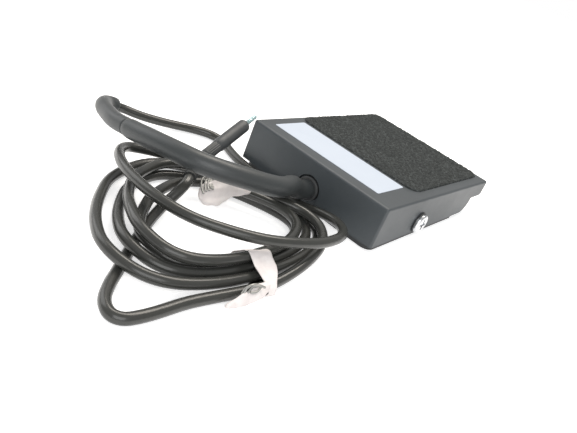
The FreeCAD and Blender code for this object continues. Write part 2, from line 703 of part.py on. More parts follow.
def coil_point(quarter):
    """Return where the coil lies at a quarter turn, and its direction there.

    The turns spiral in on the lower layer and out again on the upper one, and climb in the quarter
    turn where the spiral reverses.
    """
    way, side, extent, along, spacing, upper_inset, lift = COIL_SIDES[quarter % 4]
    if quarter <= COIL_TURNING_QUARTER:
        turns_in = (quarter - quarter % 4) / 4
    else:
        turns_in = (2 * COIL_TURNING_QUARTER - quarter - quarter % 4) / 4
    climbed = min(max(quarter - COIL_TURNING_QUARTER, 0), 1)
    reach = extent - spacing * turns_in - upper_inset * climbed
    height = size("coil_floor") + size("coil_layer_step") * climbed + lift
    if side[0]:
        point = (side[0] * reach, along, height)
    else:
        point = (along, side[1] * reach, height)
    return point, Vector(way[0], way[1], 0).normalize()


def coil_edges():
    """Return the edges of the wound part of the cord, and their radii."""
    edges = []
    radii = []
    nodes = [coil_point(quarter) for quarter in range(COIL_QUARTERS + 1)]
    placed = [(from_exit([point])[0], way) for point, way in nodes]
    for (start, start_way), (end, end_way) in zip(placed, placed[1:]):
        arcs, arc_radii = biarc_edges(start, start_way, end, end_way)
        edges += arcs
        radii += arc_radii
    return edges, radii


def least_self_gap(edges, diameter):
    """Return the least gap between parts of a tube that are far apart along it."""
    points = []
    along = []
    walked = 0.0
    for edge in edges:
        count = max(3, int(edge.Length / 1.2))
        for k, point in enumerate(edge.discretize(Number=count)[:-1]):
            points.append(point)
            along.append(walked + edge.Length * k / (count - 1))
        walked += edge.Length
    least = math.inf
    for k, point in enumerate(points):
        for other, place in zip(points[k + 1:], along[k + 1:]):
            if place - along[k] > 8 * diameter:
                least = min(least, point.distanceToPoint(other))
    return least - diameter


def cords():
    """Make the sleeves, the wound cable and its two free lengths, each joined face to face."""
    made = {}
    coil, radii = coil_edges()
    start = coil[-1].valueAt(coil[-1].LastParameter)
    routes = [
        ("cord_sleeve", from_exit(SLEEVE_ROUTE), size("sleeve_diameter")),
        ("cord_sleeve_end", from_exit(SLEEVE_END_ROUTE), size("sleeve_end_diameter")),
        ("cord_lead", from_exit(LEAD_ROUTE), size("cable_diameter")),
        ("cord_tail", [start] + from_exit(TAIL_ROUTE), size("cable_diameter")),
    ]
    total = 0.0
    for name, points, diameter in routes:
        made[name], route_radii = route_edges(points)
        solid = pipe(made[name], diameter)
        feature(name, solid)
        total += report(name, made[name], route_radii, diameter, solid)
    made["cord_coil"] = coil
    solid = pipe(coil, size("cable_diameter"))
    feature("cord_coil", solid)
    total += report("cord_coil", coil, radii, size("cable_diameter"), solid)
    print(f"cord_coil: least gap between turns {least_self_gap(coil, size('cable_diameter')):.2f}")
    print(f"cord from the gland to the plug: {total:.0f} mm")
    return made


def wires():
    """Make the two wires from the cable's inner end to the sensor."""
    for name, sign in (("wire_live", -1), ("wire_return", 1)):
        points = from_exit([(sign * x, y, z) for x, y, z in WIRE_ROUTE])
        edges, radii = route_edges(points)
        solid = pipe(edges, size("wire_diameter"))
        feature(name, solid)
        report(name, edges, radii, size("wire_diameter"), solid)


def springs():
    """Wind the two return springs, each end turn flat against its seat."""
    wire = size("spring_wire")
    radius = size("spring_radius")
    quarters = int(size("spring_turns") * 4)
    y = size("spring_setback") - size("cover_length") / 2
    slope = (size("cover_back_height") - size("cover_front_height")) / size("cover_length")
    under = size("cover_back_height") - slope * size("spring_setback") - size("cover_wall")
    foot = size("sole_thickness") + size("plate_thickness") + wire / 2 + size("running_gap")
    head = under - slope * (radius + wire) - size("contact_gap") - wire / 2
    rise = (head - foot) / (quarters - 2)
    for name, x in (("return_spring_left", -size("spring_offset")),
                    ("return_spring_right", size("spring_offset"))):
        nodes = []
        for k in range(quarters + 1):
            turn = math.pi / 2 * k
            flat = k < 2 or k > quarters - 2
            climb = 0 if flat else rise / (math.pi / 2 * radius)
            height = foot + rise * min(max(k - 1, 0), quarters - 2)
            nodes.append((Vector(x + radius * math.cos(turn), y + radius * math.sin(turn), height),
                          Vector(-math.sin(turn), math.cos(turn), climb).normalize()))
        edges = []
        radii = []
        for (start, start_way), (end, end_way) in zip(nodes, nodes[1:]):
            arcs, arc_radii = biarc_edges(start, start_way, end, end_way)
            edges += arcs
            radii += arc_radii
        solid = pipe(edges, wire)
        feature(name, solid)
        report(name, edges, radii, wire, solid)


def facing(item, start, way):
    """Stand an object, made upwards from the origin, on a point so that it faces a direction."""
    item.Placement = FreeCAD.Placement(start, FreeCAD.Rotation(Vector(0, 0, 1), way))
    return item


def plug():
    """Make the plug: a ribbed strain relief, the grip with its narrower neck, and the jack."""
    rear, start, end = from_exit([TAIL_ROUTE[-1], RELIEF_START, JACK_START])
    axis = (end - start).normalize()
    relief = [rear, start - axis * size("relief_bend"), start]
    edges, radii = route_edges(relief)
    solid = pipe(edges, size("plug_relief_diameter"))
    way = (relief[1] - relief[0]).normalize()
    for k in range(6):
        place = relief[0] + way * (1.5 + size("rib_spacing") * k)
        solid = solid.fuse(Part.makeCylinder(size("rib_radius"), size("rib_width"), place, way))
    feature("plug_relief", solid)
    neck_length = str(round((end - start).Length, 3)) + " - plug_grip_length"
    neck = cylinder("plug_neck", "plug_neck_diameter / 2", neck_length, "0", "0", "0")
    grip = cylinder("plug_body", "plug_diameter / 2", "plug_grip_length", "0", "0", neck_length)
    piece(facing(fuse("plug_grip", [neck, grip]), start, axis), "plug_grip")
    shaft = cylinder("jack_shaft", "jack_diameter / 2", "jack_length * 0.75", "0", "0", "0")
    groove = cylinder("jack_groove", "jack_diameter * 0.36", "jack_length * 0.08", "0", "0",
                      "jack_length * 0.75")
    tip = doc.addObject("Part::Cone", "jack_tip")
    bind(tip, Radius1="jack_diameter / 2", Radius2="jack_diameter * 0.2",
         Height="jack_length * 0.17")
    put(tip, "0", "0", "jack_length * 0.83")
    piece(facing(fuse("plug_jack", [shaft, groove, tip]), end, axis), "plug_jack")


def crossings(edges, at, way, reach):
    """Return where edges cross an upright plane, as distances across it and heights."""
    across = Vector(-way.y, way.x, 0)
    found = []
    for edge in edges:
        points = edge.discretize(Number=24)
        for one, two in zip(points, points[1:]):
            before = (one - at).dot(way)
            after = (two - at).dot(way)
            if before * after <= 0 and before != after:
                point = one + (two - one) * (before / (before - after))
                if abs((point - at).dot(across)) < reach:
                    found.append(((point - at).dot(across), point.z))
    return found


def hull(points):
    """Return the corners of the convex outline around points, in order."""
    ordered = sorted(set(points))

    def chain(row):
        """Return one side of the outline."""
        kept = []
        for point in row:
            while len(kept) > 1 and turns_right(kept[-2], kept[-1], point):
                kept.pop()
            kept.append(point)
        return kept[:-1]

    return chain(ordered) + chain(ordered[::-1])


def turns_right(one, two, three):
    """Tell whether three points in a plane turn to the right or run straight on."""
    return ((two[0] - one[0]) * (three[1] - one[1])
            - (two[1] - one[1]) * (three[0] - one[0])) <= 1e-6


def ribbon(points, foot, height, thickness):
    """Make a strip that stands on edge along a line of points in plan."""
    sides = ([], [])
    for k, point in enumerate(points):
        before = points[max(k - 1, 0)]
        after = points[min(k + 1, len(points) - 1)]
        way = (after - before).normalize()
        normal = Vector(-way.y, way.x, 0) * (thickness / 2)
        sides[0].append(Vector(point.x, point.y, foot) + normal)
        sides[1].append(Vector(point.x, point.y, foot) - normal)
    corners = sides[0] + sides[1][::-1]
    face = Part.Face(Part.makePolygon(corners + corners[:1]))
    return face.extrude(Vector(0, 0, height))


def tie(name, place, loose, foot, edges):
    """Make a tie: a strap around the cords that cross its plane, with one crumpled loose end."""
    at = from_exit([(*place[0], 0.0)])[0]
    way = Vector(*place[1], 0).normalize()
    across = Vector(-way.y, way.x, 0)
    width = size("tie_width")
    met = []
    for share in (-0.5, -0.25, 0, 0.25, 0.5):
        met += crossings(edges, at + way * (share * width), way, 16)
    corners = hull(met)
    rim = Part.makePolygon([Vector(s, z, 0) for s, z in corners + corners[:1]])
    inner = size("cable_diameter") / 2 + size("tie_clearance")
    outside = Part.Face(rim.makeOffset2D(inner + size("tie_thickness")))
    inside = Part.Face(rim.makeOffset2D(inner))
    band = outside.cut(inside).extrude(Vector(0, 0, width))
    band.translate(Vector(0, 0, -width / 2))
    turn = FreeCAD.Rotation(across, Vector(0, 0, 1), way, "ZXY")
    band.Placement = FreeCAD.Placement(at, turn).multiply(band.Placement)
    below = Part.makeBox(400, 400, 20, Vector(-200, at.y - 200, -20 + size("tie_floor")))
    end = ribbon(from_exit([(x, y, 0.0) for x, y in loose]), foot,
                 size("tie_end_height"), size("tie_thickness"))
    strap = band.cut(below).fuse(end).removeSplitter()
    print(f"{name}: outline {[(round(s, 1), round(z, 1)) for s, z in corners]}")
    feature(name, strap.Solids[0] if len(strap.Solids) == 1 else strap)


def export_pieces():
    """Check every object, then write one file for each sub-part."""
    doc.recompute()
    for item in doc.Objects:
        if "Invalid" in item.State or "Error" in item.State:
            raise RuntimeError(f"{item.Name} did not compute: {item.State}")
    os.makedirs("parts", exist_ok=True)
    for item in pieces:
        shape = item.Shape
        if shape.isNull() or not shape.isValid() or len(shape.Solids) != 1:
            raise RuntimeError(f"{item.Label} is not one valid solid: {len(shape.Solids)}")
        shape.exportStep(f"parts/{item.Label}.step")
        box_of = shape.BoundBox
        print(f"{item.Label}: {box_of.XMin:.1f}..{box_of.XMax:.1f} "
              f"{box_of.YMin:.1f}..{box_of.YMax:.1f} {box_of.ZMin:.1f}..{box_of.ZMax:.1f}")


fill_sheet()
treadle_parts()
sole()
base_plate()
for side_name, side_sign in (("left", -1), ("right", 1)):
    pivot_side(side_name, side_sign)
    stops(side_name, "-" if side_sign < 0 else "")
sensor()
gland_and_clamp()
springs()
wires()
cord_edges = cords()
plug()
tie("tie_front", FRONT_TIE, FRONT_TIE_END, FRONT_TIE_FOOT,
    cord_edges["cord_coil"] + cord_edges["cord_tail"])
tie("tie_rear", REAR_TIE, REAR_TIE_END, REAR_TIE_FOOT, cord_edges["cord_coil"])
export_pieces()
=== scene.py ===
import logging
import math
from dataclasses import dataclass, field
from enum import Enum

import bmesh
import bpy
import numpy as np
from mathutils import Matrix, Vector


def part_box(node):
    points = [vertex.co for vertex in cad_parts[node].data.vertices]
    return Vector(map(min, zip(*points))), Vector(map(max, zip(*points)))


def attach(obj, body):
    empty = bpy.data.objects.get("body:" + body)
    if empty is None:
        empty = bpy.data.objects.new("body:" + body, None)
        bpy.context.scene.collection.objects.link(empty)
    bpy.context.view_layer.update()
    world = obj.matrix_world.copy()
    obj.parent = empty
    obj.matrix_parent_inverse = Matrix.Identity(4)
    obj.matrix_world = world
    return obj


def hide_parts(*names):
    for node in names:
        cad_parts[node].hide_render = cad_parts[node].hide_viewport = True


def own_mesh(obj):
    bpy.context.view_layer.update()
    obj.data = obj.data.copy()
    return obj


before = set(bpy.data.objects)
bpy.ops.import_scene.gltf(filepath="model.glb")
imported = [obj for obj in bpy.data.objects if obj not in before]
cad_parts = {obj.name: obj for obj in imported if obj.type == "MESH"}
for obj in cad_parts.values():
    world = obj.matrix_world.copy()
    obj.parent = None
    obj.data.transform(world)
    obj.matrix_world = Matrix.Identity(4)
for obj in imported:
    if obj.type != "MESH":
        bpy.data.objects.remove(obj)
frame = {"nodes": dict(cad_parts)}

# A sewing machine's foot pedal: steel treadle with a grit pad, wound cable, jack plug and ties.
# Meshes are in metres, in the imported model's frame.

LOG = logging.getLogger("pedal")
Colour = tuple[float, float, float]
Pair = tuple[float, float]
Point = tuple[float, float, float]
Points = np.ndarray
Piece = bpy.types.Object
Socket = bpy.types.NodeSocket

UP = (0.0, 0.0, 1.0)
FULL_TURN = 2 * math.pi
# Height of the cable's middle where it lies on the floor, and from one layer to the next.
FLOOR_LAYER = 2.8
LAYER_STEP = 5.9
# Rows that the moving average of a strip's or a wire's course takes in.
SMOOTHING = 9

# The cable's exit on the gland's outer face, at floor level. Route points are measured from it,
# in millimetres, as in the part's source.
GLAND_FACE = (0.0, -73.2, 0.0)
SLEEVE_ROUTE = [
    (0.0, 0.0, 11.5), (0.0, -5.2, 11.5), (0.3, -11.8, 13.8), (1.2, -18.6, 17.9),
    (7.7, -36.9, 22.6), (4.9, -52.3, 26.0), (-0.3, -64.5, 28.6), (-6.0, -73.4, 29.9),
    (-13.3, -79.9, 30.3), (-24.2, -82.7, 29.6), (-37.2, -83.6, 27.6), (-50.3, -83.4, 25.0),
    (-61.9, -81.6, 22.4),
]
SLEEVE_END_ROUTE = [
    (-61.9, -81.6, 22.4), (-74.4, -79.7, 19.6), (-86.2, -74.8, 17.2), (-96.4, -69.8, 15.2),
    (-104.4, -63.7, 13.2), (-108.6, -57.6, 11.2), (-107.9, -51.4, 9.4),
]
LEAD_ROUTE = [
    (-107.9, -51.4, 9.4), (-106.9, -45.2, 7.6), (-101.8, -38.2, 6.0), (-97.7, -29.5, 4.6),
    (-92.9, -18.7, 3.4), (-87.2, -6.7, 2.8), (-78.1, 2.4, 2.8), (-68.0, 3.4, 2.8),
    (-57.5, -1.4, 2.8), (-44.0, -5.2, 2.8), (-30.0, -5.6, 2.8), (-16.0, -5.4, 2.8),
    (2.0, -5.3, 2.8), (15.0, -4.6, 6.4), (31.0, -9.0, 11.0), (44.0, -22.8, 14.0),
    (45.4, -44.3, 15.6), (41.1, -62.6, 17.3), (34.7, -78.6, 18.4), (23.5, -91.9, 19.0),
    (8.8, -102.6, 18.8), (-11.1, -105.7, 18.0), (-30.7, -102.7, 16.4), (-46.9, -96.2, 14.2),
    (-59.6, -86.4, 11.4), (-66.2, -76.4, 9.0), (-64.4, -67.4, 7.6), (-60.6, -57.4, 6.2),
    (-48.5, -35.4, 3.9), (-31.5, -25.8, 2.8), (-12.0, -19.2, 2.8), (4.0, -11.8, 2.8),
]
TAIL_ROUTE = [
    (16.0, -17.6, 8.8), (30.0, -21.6, 9.0), (40.6, -35.5, 8.8), (45.4, -53.0, 6.8),
    (46.8, -68.0, 4.4), (46.8, -82.0, 2.8), (44.4, -98.7, 2.8), (41.9, -111.6, 2.8),
    (39.4, -125.8, 2.8), (39.0, -139.0, 2.8), (38.1, -148.0, 2.8), (36.4, -155.0, 2.8),
    (31.5, -157.6, 2.8), (24.6, -154.6, 2.8), (18.6, -148.1, 2.8), (11.9, -138.3, 2.8),
    (0.5, -122.4, 2.8), (-12.4, -102.6, 2.8), (-19.0, -87.8, 5.8), (-18.9, -82.0, 10.6),
    (-20.2, -75.9, 14.7), (-23.1, -71.9, 15.0),
]
RELIEF_START = (-34.9, -51.2, 18.3)
JACK_START = (-43.0, -16.7, 29.8)


class Body(Enum):
    """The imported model's bodies that new pieces ride on."""

    BASE = "base"
    TREADLE = "treadle"


def at(points: list[Point] | Points) -> Points:
    """Move route points, in millimetres from the gland's outer face, into the frame's metres."""
    return (np.array(points, float) + np.array(GLAND_FACE)) / 1000.0


def unit(vectors: Points) -> Points:
    """Scale one vector, or one in each row, to length 1."""
    return vectors / np.linalg.norm(vectors, axis=-1, keepdims=True)


def round_angles(count: int) -> Points:
    """Return evenly spaced angles over one full turn, its end left out."""
    return np.linspace(0, FULL_TURN, count, endpoint=False)


@dataclass(frozen=True)
class CoilSide:
    """One side of the wound bundle, as the cord passes it. Sizes in millimetres."""

    way: Pair
    outward: Pair
    extent: float
    along: float
    spacing: float
    upper_inset: float
    lift: float


@dataclass(frozen=True)
class Bulge:
    """A place, in quarter turns from the start, where a turn is pushed off the winding."""

    quarter: float
    push: Pair
    reach: float = 0.85


@dataclass
class Coil:
    """The wound bundle: turns spiral in on the floor and out again on top of them."""

    sides: tuple[CoilSide, ...] = (
        CoilSide((1.0, 0.44), (0, 1), -11.8, 4.0, 6.5, 4.8, 0.0),
        CoilSide((0.0, -1.0), (1, 0), 40.2, -65.8, 6.15, -1.5, 0.0),
        CoilSide((-1.0, 0.4), (0, -1), 139.0, 1.7, 9.3, 6.4, 6.0),
        CoilSide((-0.57, 0.8), (-1, 0), 52.0, -94.6, 14.4, 8.2, 0.0),
    )
    quarters: int = 16
    turning_quarter: int = 10
    points_per_quarter: int = 3
    fullness: float = 1.36
    bulges: tuple[Bulge, ...] = (
        Bulge(2.4, (4.2, -4.0)), Bulge(3.55, (-4.2, 4.8)), Bulge(7.25, (-5.2, 3.4)),
        Bulge(9.6, (1.4, -1.4)), Bulge(11.3, (-2.0, 1.4)), Bulge(13.6, (1.8, -1.8)),
        Bulge(15.3, (-7.6, 6.4), 0.7),
    )

    def node(self, quarter: int) -> tuple[Points, Points]:
        """Find the place and direction of the cord after a number of quarter turns.

        Each turn lies one spacing inside the last on the way in, and outside it on the way out.

        Args:
            quarter: Quarter turns from the bundle's start.

        Returns:
            Point in millimetres from the gland's face, and unit direction.
        """
        side = self.sides[quarter % 4]
        counted = min(quarter, 2 * self.turning_quarter - quarter)
        turns_in = (counted - quarter % 4) / 4
        climbed = min(max(quarter - self.turning_quarter, 0.0), 1.0)
        reach = side.extent - side.spacing * turns_in - side.upper_inset * climbed
        height = FLOOR_LAYER + LAYER_STEP * climbed + side.lift
        if side.outward[0]:
            point = (side.outward[0] * reach, side.along, height)
        else:
            point = (side.along, side.outward[1] * reach, height)
        return np.array(point), unit(np.array([*side.way, 0.0]))

    def points(self) -> list[list[float]]:
        """Work out the bundle's points, a cubic curve through each quarter turn's two ends.

        Near each bulge they are pushed aside by a squared cosine of the distance in quarters.

        Returns:
            Points in millimetres from the gland's face, start left out and end included.
        """
        share = np.arange(1, self.points_per_quarter + 1)[:, None] / self.points_per_quarter
        rows = []
        for quarter in range(self.quarters):
            start, start_way = self.node(quarter)
            end, end_way = self.node(quarter + 1)
            gap = end - start
            both = start_way + end_way
            across = 2 * (1 - start_way @ end_way)
            reach = (math.sqrt((gap @ both) ** 2 + across * (gap @ gap)) - gap @ both) / across
            handle = self.fullness * reach
            row = ((1 - share) ** 3 * start
                   + 3 * (1 - share) ** 2 * share * (start + handle * start_way)
                   + 3 * (1 - share) * share ** 2 * (end - handle * end_way)
                   + share ** 3 * end)
            for bulge in self.bulges:
                away = np.clip(np.abs(quarter + share - bulge.quarter) / bulge.reach, 0, 1)
                row += np.cos(away * math.pi / 2) ** 2 * np.array([*bulge.push, 0.0])
            rows.append(row)
        return np.concatenate(rows).tolist()


def eased(knots: Points, count: int) -> Points:
    """Run evenly from knot to knot, smoothed by a moving average.

    Args:
        knots: One row each, of any number of columns.
        count: Rows of the result.

    Returns:
        The smoothed rows.
    """
    marks = np.linspace(0, 1, len(knots))
    share = np.linspace(0, 1, count)
    course = np.stack([np.interp(share, marks, column) for column in knots.T], axis=1)
    padded = np.pad(course, ((SMOOTHING // 2, SMOOTHING // 2), (0, 0)), mode="edge")
    kernel = np.ones(SMOOTHING) / SMOOTHING
    return np.stack([np.convolve(column, kernel, "valid") for column in padded.T], axis=1)


def new_mesh(name: str, points: Points, faces: list[list[int]]) -> Piece:
    """Make a smooth-shaded mesh object at the origin.

    Args:
        name: The piece's name.
        points: Vertices in metres, one row each.
        faces: Vertex numbers of each face.

    Returns:
        The new object, linked to the scene.
    """
    mesh = bpy.data.meshes.new(name)
    mesh.from_pydata(points.tolist(), [], faces)
    mesh.validate()
    mesh.polygons.foreach_set("use_smooth", np.ones(len(mesh.polygons), bool))
    mesh.update()
    piece = bpy.data.objects.new(name, mesh)
    bpy.context.scene.collection.objects.link(piece)
    return piece


def turn_outwards(piece: Piece) -> Piece:
    """Make a closed mesh's faces point outwards.

    Args:
        piece: The piece to correct.

    Returns:
        The same piece.
    """
    work = bmesh.new()
    work.from_mesh(piece.data)
    bmesh.ops.recalc_face_normals(work, faces=work.faces)
    work.to_mesh(piece.data)
    work.free()
    return piece


def grid_faces(rows: int, columns: int, wrap: bool) -> Points:
    """Number the quads of a grid of vertices.

    Args:
        rows: Vertices along the first parameter.
        columns: Vertices along the second parameter.
        wrap: Whether the second parameter closes on itself.

    Returns:
        Array of quads, wound so that row direction times column direction points out.
    """
    across = columns if wrap else columns - 1
    row, column = np.meshgrid(np.arange(rows - 1), np.arange(across), indexing="ij")
    after = (column + 1) % columns
    quads = np.stack([row * columns + column, row * columns + after,
                      (row + 1) * columns + after, (row + 1) * columns + column], axis=-1)
    return quads.reshape(-1, 4)


def closed_tube(path: Points, ways: Points, across: Points, upright: Points,
                first: int = 0) -> tuple[Points, list[list[int]]]:
    """Put a ring of points square to a path at each of its points, and close both ends.

    One direction of a ring is level: the path's direction crossed with upward. The other is
    the level one crossed with the path's. A ring's point is the path's point plus an offset
    along each of the two.

    Args:
        path: The middle of each ring.
        ways: Unit direction of the path at each ring.
        across: Level offset of each ring's points, stations by sides.
        upright: Offset of the same points along the other direction.
        first: Number of the first vertex.

    Returns:
        Vertices, and faces that end in two fans to the path's ends.
    """
    sideways = unit(np.cross(ways, UP))
    upward = np.cross(sideways, ways)
    rings = (path[:, None] + across[..., None] * sideways[:, None]
             + upright[..., None] * upward[:, None])
    stations, sides = across.shape
    points = np.concatenate([rings.reshape(-1, 3), path[:1], path[-1:]])
    ring = np.arange(sides)
    after = (ring + 1) % sides
    last, middle = (stations - 1) * sides, np.full(sides, stations * sides)
    near = np.stack([after, ring, middle], axis=1)
    far = np.stack([last + ring, last + after, middle + 1], axis=1)
    quads = grid_faces(stations, sides, wrap=True) + first
    return points, quads.tolist() + (np.concatenate([near, far]) + first).tolist()


def sweep(name: str, path: Points, reach: Points, ways: Points | None = None) -> Piece:
    """Carry a round section along a path, its points at even angles round each ring.

    Args:
        name: The piece's name.
        path: Points along the middle, in metres.
        reach: Distance of each ring's points from the path, stations by sides, in metres.
        ways: Unit direction at each point, or None for the path's own.

    Returns:
        The closed tube.
    """
    if ways is None:
        ways = unit(np.gradient(path, axis=0))
    angles = round_angles(reach.shape[1])
    points, faces = closed_tube(path, ways, reach * np.cos(angles), reach * np.sin(angles))
    return turn_outwards(new_mesh(name, points, faces))


def lathe(name: str, start: Points, way: Points, profile: tuple[Pair, ...], sides: int,
          flutes: tuple[float, float, int, float] = (0.0, 0.0, 1, 0.0)) -> Piece:
    """Turn a profile about an axis.

    Each flute takes its depth times half of 1 - cos(count * angle) off the radius.

    Args:
        name: The piece's name.
        start: Point of the axis where the profile's zero lies, in metres.
        way: Unit direction of the axis.
        profile: Distance along the axis and radius of each station, in millimetres.
        sides: Points round the axis.
        flutes: First and last distance of a fluted stretch, count of flutes and their depth.

    Returns:
        The turned piece.
    """
    stations = np.array(profile, float)
    reach = np.repeat(stations[:, 1:], sides, axis=1) / 1000.0
    first, last, count, depth = flutes
    inside = (stations[:, :1] >= first) & (stations[:, :1] <= last)
    groove = 0.5 - 0.5 * np.cos(count * round_angles(sides)[None])
    path = start + way * stations[:, :1] / 1000.0
    ways = np.tile(way, (len(stations), 1))
    return sweep(name, path, reach - inside * depth / 1000.0 * groove, ways)


class NodeTree:
    """A shader's node tree, to which nodes are added with their links and values."""

    def __init__(self, tree: bpy.types.NodeTree) -> None:
        """Keep the tree and clear it."""
        self.tree = tree
        tree.nodes.clear()

    def add(self, kind: str, inputs: dict[str | int, object] | None = None,
            **values: object) -> bpy.types.Node:
        """Add a node.

        Args:
            kind: Type of the node.
            inputs: For each input's name or number, the socket that feeds it or its value.
            values: Properties of the node by name.

        Returns:
            The new node.
        """
        node = self.tree.nodes.new(kind)
        for name, value in values.items():
            setattr(node, name, value)
        for name, value in (inputs or {}).items():
            if isinstance(value, Socket):
                self.tree.links.new(value, node.inputs[name])
            else:
                node.inputs[name].default_value = value
        return node

    def math(self, operation: str, first: object, second: object) -> Socket:
        """Add a Math node on two sockets or numbers and return its result."""
        return self.add("ShaderNodeMath", {0: first, 1: second}, operation=operation).outputs[0]


class Pattern(Enum):
    """The node groups that the finishes use."""

    MOTTLE = "mottle"
    GRIT = "grit"
    BRUSHED = "brushed"


class PatternGroup:
    """A node group that breaks up a finish, with the sockets that all of them share."""

    SOCKETS = {
        "INPUT": {"Vector": "Vector", "Colour": "Color", "Shade": "Color", "Fine Scale": "Float",
                  "Broad Scale": "Float", "Roughness": "Float", "Spread": "Float"},
        "OUTPUT": {"Colour": "Color", "Roughness": "Float", "Height": "Float"},
    }
    # The part of a noise's range that holds most of its values.
    NOISE_RANGE = (0.3, 0.7)

    def __init__(self, pattern: Pattern) -> None:
        """Start the group.

        Args:
            pattern: Which one it is.
        """
        group = bpy.data.node_groups.new(pattern.value, "ShaderNodeTree")
        for side, sockets in self.SOCKETS.items():
            for label, kind in sockets.items():
                group.interface.new_socket(label, in_out=side, socket_type=f"NodeSocket{kind}")
        self.tree = NodeTree(group)
        self.entry = self.tree.add("NodeGroupInput").outputs

    def noise(self, scale: str, detail: float, rough: float = 0.5,
              vector: Socket | None = None) -> Socket:
        """Add a noise texture.

        Args:
            scale: The group's input that gives the scale.
            detail: Octaves of the noise.
            rough: Strength of each finer octave.
            vector: Coordinates, or None for the group's own.

        Returns:
            The noise, spread to 0..1.
        """
        texture = self.tree.add("ShaderNodeTexNoise", {
            "Detail": detail, "Roughness": rough, "Vector": vector or self.entry["Vector"],
            "Scale": self.entry[scale]})
        low, high = self.NOISE_RANGE
        return self.tree.add("ShaderNodeMapRange", {
            "From Min": low, "From Max": high, "Value": texture.outputs[0]}).outputs[0]

    def close(self, tone: Socket, unevenness: Socket, height: Socket) -> None:
        """Feed the group's outputs.

        Args:
            tone: Share of the shade in the colour.
            unevenness: What times the spread adds to the roughness.
            height: The height itself.
        """
        mixed = self.tree.add("ShaderNodeMix", {0: tone, 6: self.entry["Colour"],
                                                7: self.entry["Shade"]}, data_type="RGBA")
        wobble = self.tree.math("MULTIPLY", unevenness, self.entry["Spread"])
        rough = self.tree.math("ADD", self.entry["Roughness"], wobble)
        self.tree.add("NodeGroupOutput", {
            "Colour": mixed.outputs[2], "Roughness": rough, "Height": height})


def build_mottle() -> None:
    """Build the group for moulded and painted surfaces.

    Broad noise changes the tone and the roughness, and fine noise is the height.
    """
    group = PatternGroup(Pattern.MOTTLE)
    broad = group.noise("Broad Scale", 4.0, 0.6)
    group.close(broad, broad, group.noise("Fine Scale", 2.0))


def build_grit() -> None:
    """Build the group for the grit pad: bright grains in dark glue.

    Each grain is a cell. Its tone is the cell's own random value to the power of the contrast,
    dimmed here and there by broad noise. Its height falls from the middle to the rim.
    """
    contrast, brightest, cloud_least, lowest_grain = 2.2, 0.9, 0.6, 0.35
    group = PatternGroup(Pattern.GRIT)
    tree = group.tree
    cells = tree.add("ShaderNodeTexVoronoi", {
        "Vector": group.entry["Vector"], "Scale": group.entry["Fine Scale"]})
    grain = tree.add("ShaderNodeSeparateColor", {0: cells.outputs["Color"]}).outputs
    dimming = tree.math("MULTIPLY", group.noise("Broad Scale", 3.0), 1 - cloud_least)
    cloud = tree.math("ADD", cloud_least, dimming)
    tone = tree.math("MULTIPLY", tree.math("POWER", grain[0], contrast), cloud)
    fall = tree.math("SUBTRACT", 1.0, cells.outputs["Distance"])
    height = tree.math("MULTIPLY", fall, tree.math("ADD", grain[1], lowest_grain))
    group.close(tree.math("MULTIPLY", tone, brightest), grain[2], height)


def build_brushed() -> None:
    """Build the group for bare metal: fine streaks drawn out along X, and cloudy tone."""
    squeeze = (0.06, 1.0, 1.0)
    group = PatternGroup(Pattern.BRUSHED)
    drawn_out = group.tree.add("ShaderNodeVectorMath", {
        0: group.entry["Vector"], 1: squeeze}, operation="MULTIPLY")
    streaks = group.noise("Fine Scale", 3.0, vector=drawn_out.outputs[0])
    group.close(group.noise("Broad Scale", 3.0), streaks, streaks)


@dataclass(frozen=True)
class Finish:
    """One surface finish: its two tones, gloss and the pattern that breaks it up."""

    name: str
    colour: Colour
    shade: Colour
    roughness: float
    spread: float = 0.12
    fine: float = 1400.0
    broad: float = 45.0
    depth: float = 0.00003
    strength: float = 0.25
    metallic: float = 0.0
    specular: float = 0.5
    pattern: Pattern = Pattern.MOTTLE

    def material(self) -> bpy.types.Material:
        """Return this finish's material, built once.

        Returns:
            The material: Object coordinates feed the pattern's group, whose colour, roughness
            and height feed the Principled shader.
        """
        label = f"{self.name}_surface"
        known = bpy.data.materials.get(label)
        if known:
            return known
        made = bpy.data.materials.new(label)
        made.use_nodes = True
        tree = NodeTree(made.node_tree)
        place = tree.add("ShaderNodeTexCoord")
        pattern = tree.add("ShaderNodeGroup", {
            "Vector": place.outputs["Object"], "Colour": (*self.colour, 1.0),
            "Shade": (*self.shade, 1.0), "Fine Scale": self.fine, "Broad Scale": self.broad,
            "Roughness": self.roughness, "Spread": self.spread,
        }, node_tree=bpy.data.node_groups[self.pattern.value]).outputs
        bump = tree.add("ShaderNodeBump", {
            "Strength": self.strength, "Distance": self.depth, "Height": pattern["Height"]})
        shader = tree.add("ShaderNodeBsdfPrincipled", {
            "Metallic": self.metallic, "Specular IOR Level": self.specular,
            "Base Color": pattern["Colour"], "Roughness": pattern["Roughness"],
            "Normal": bump.outputs["Normal"]})
        tree.add("ShaderNodeOutputMaterial", {"Surface": shader.outputs["BSDF"]})
        return made


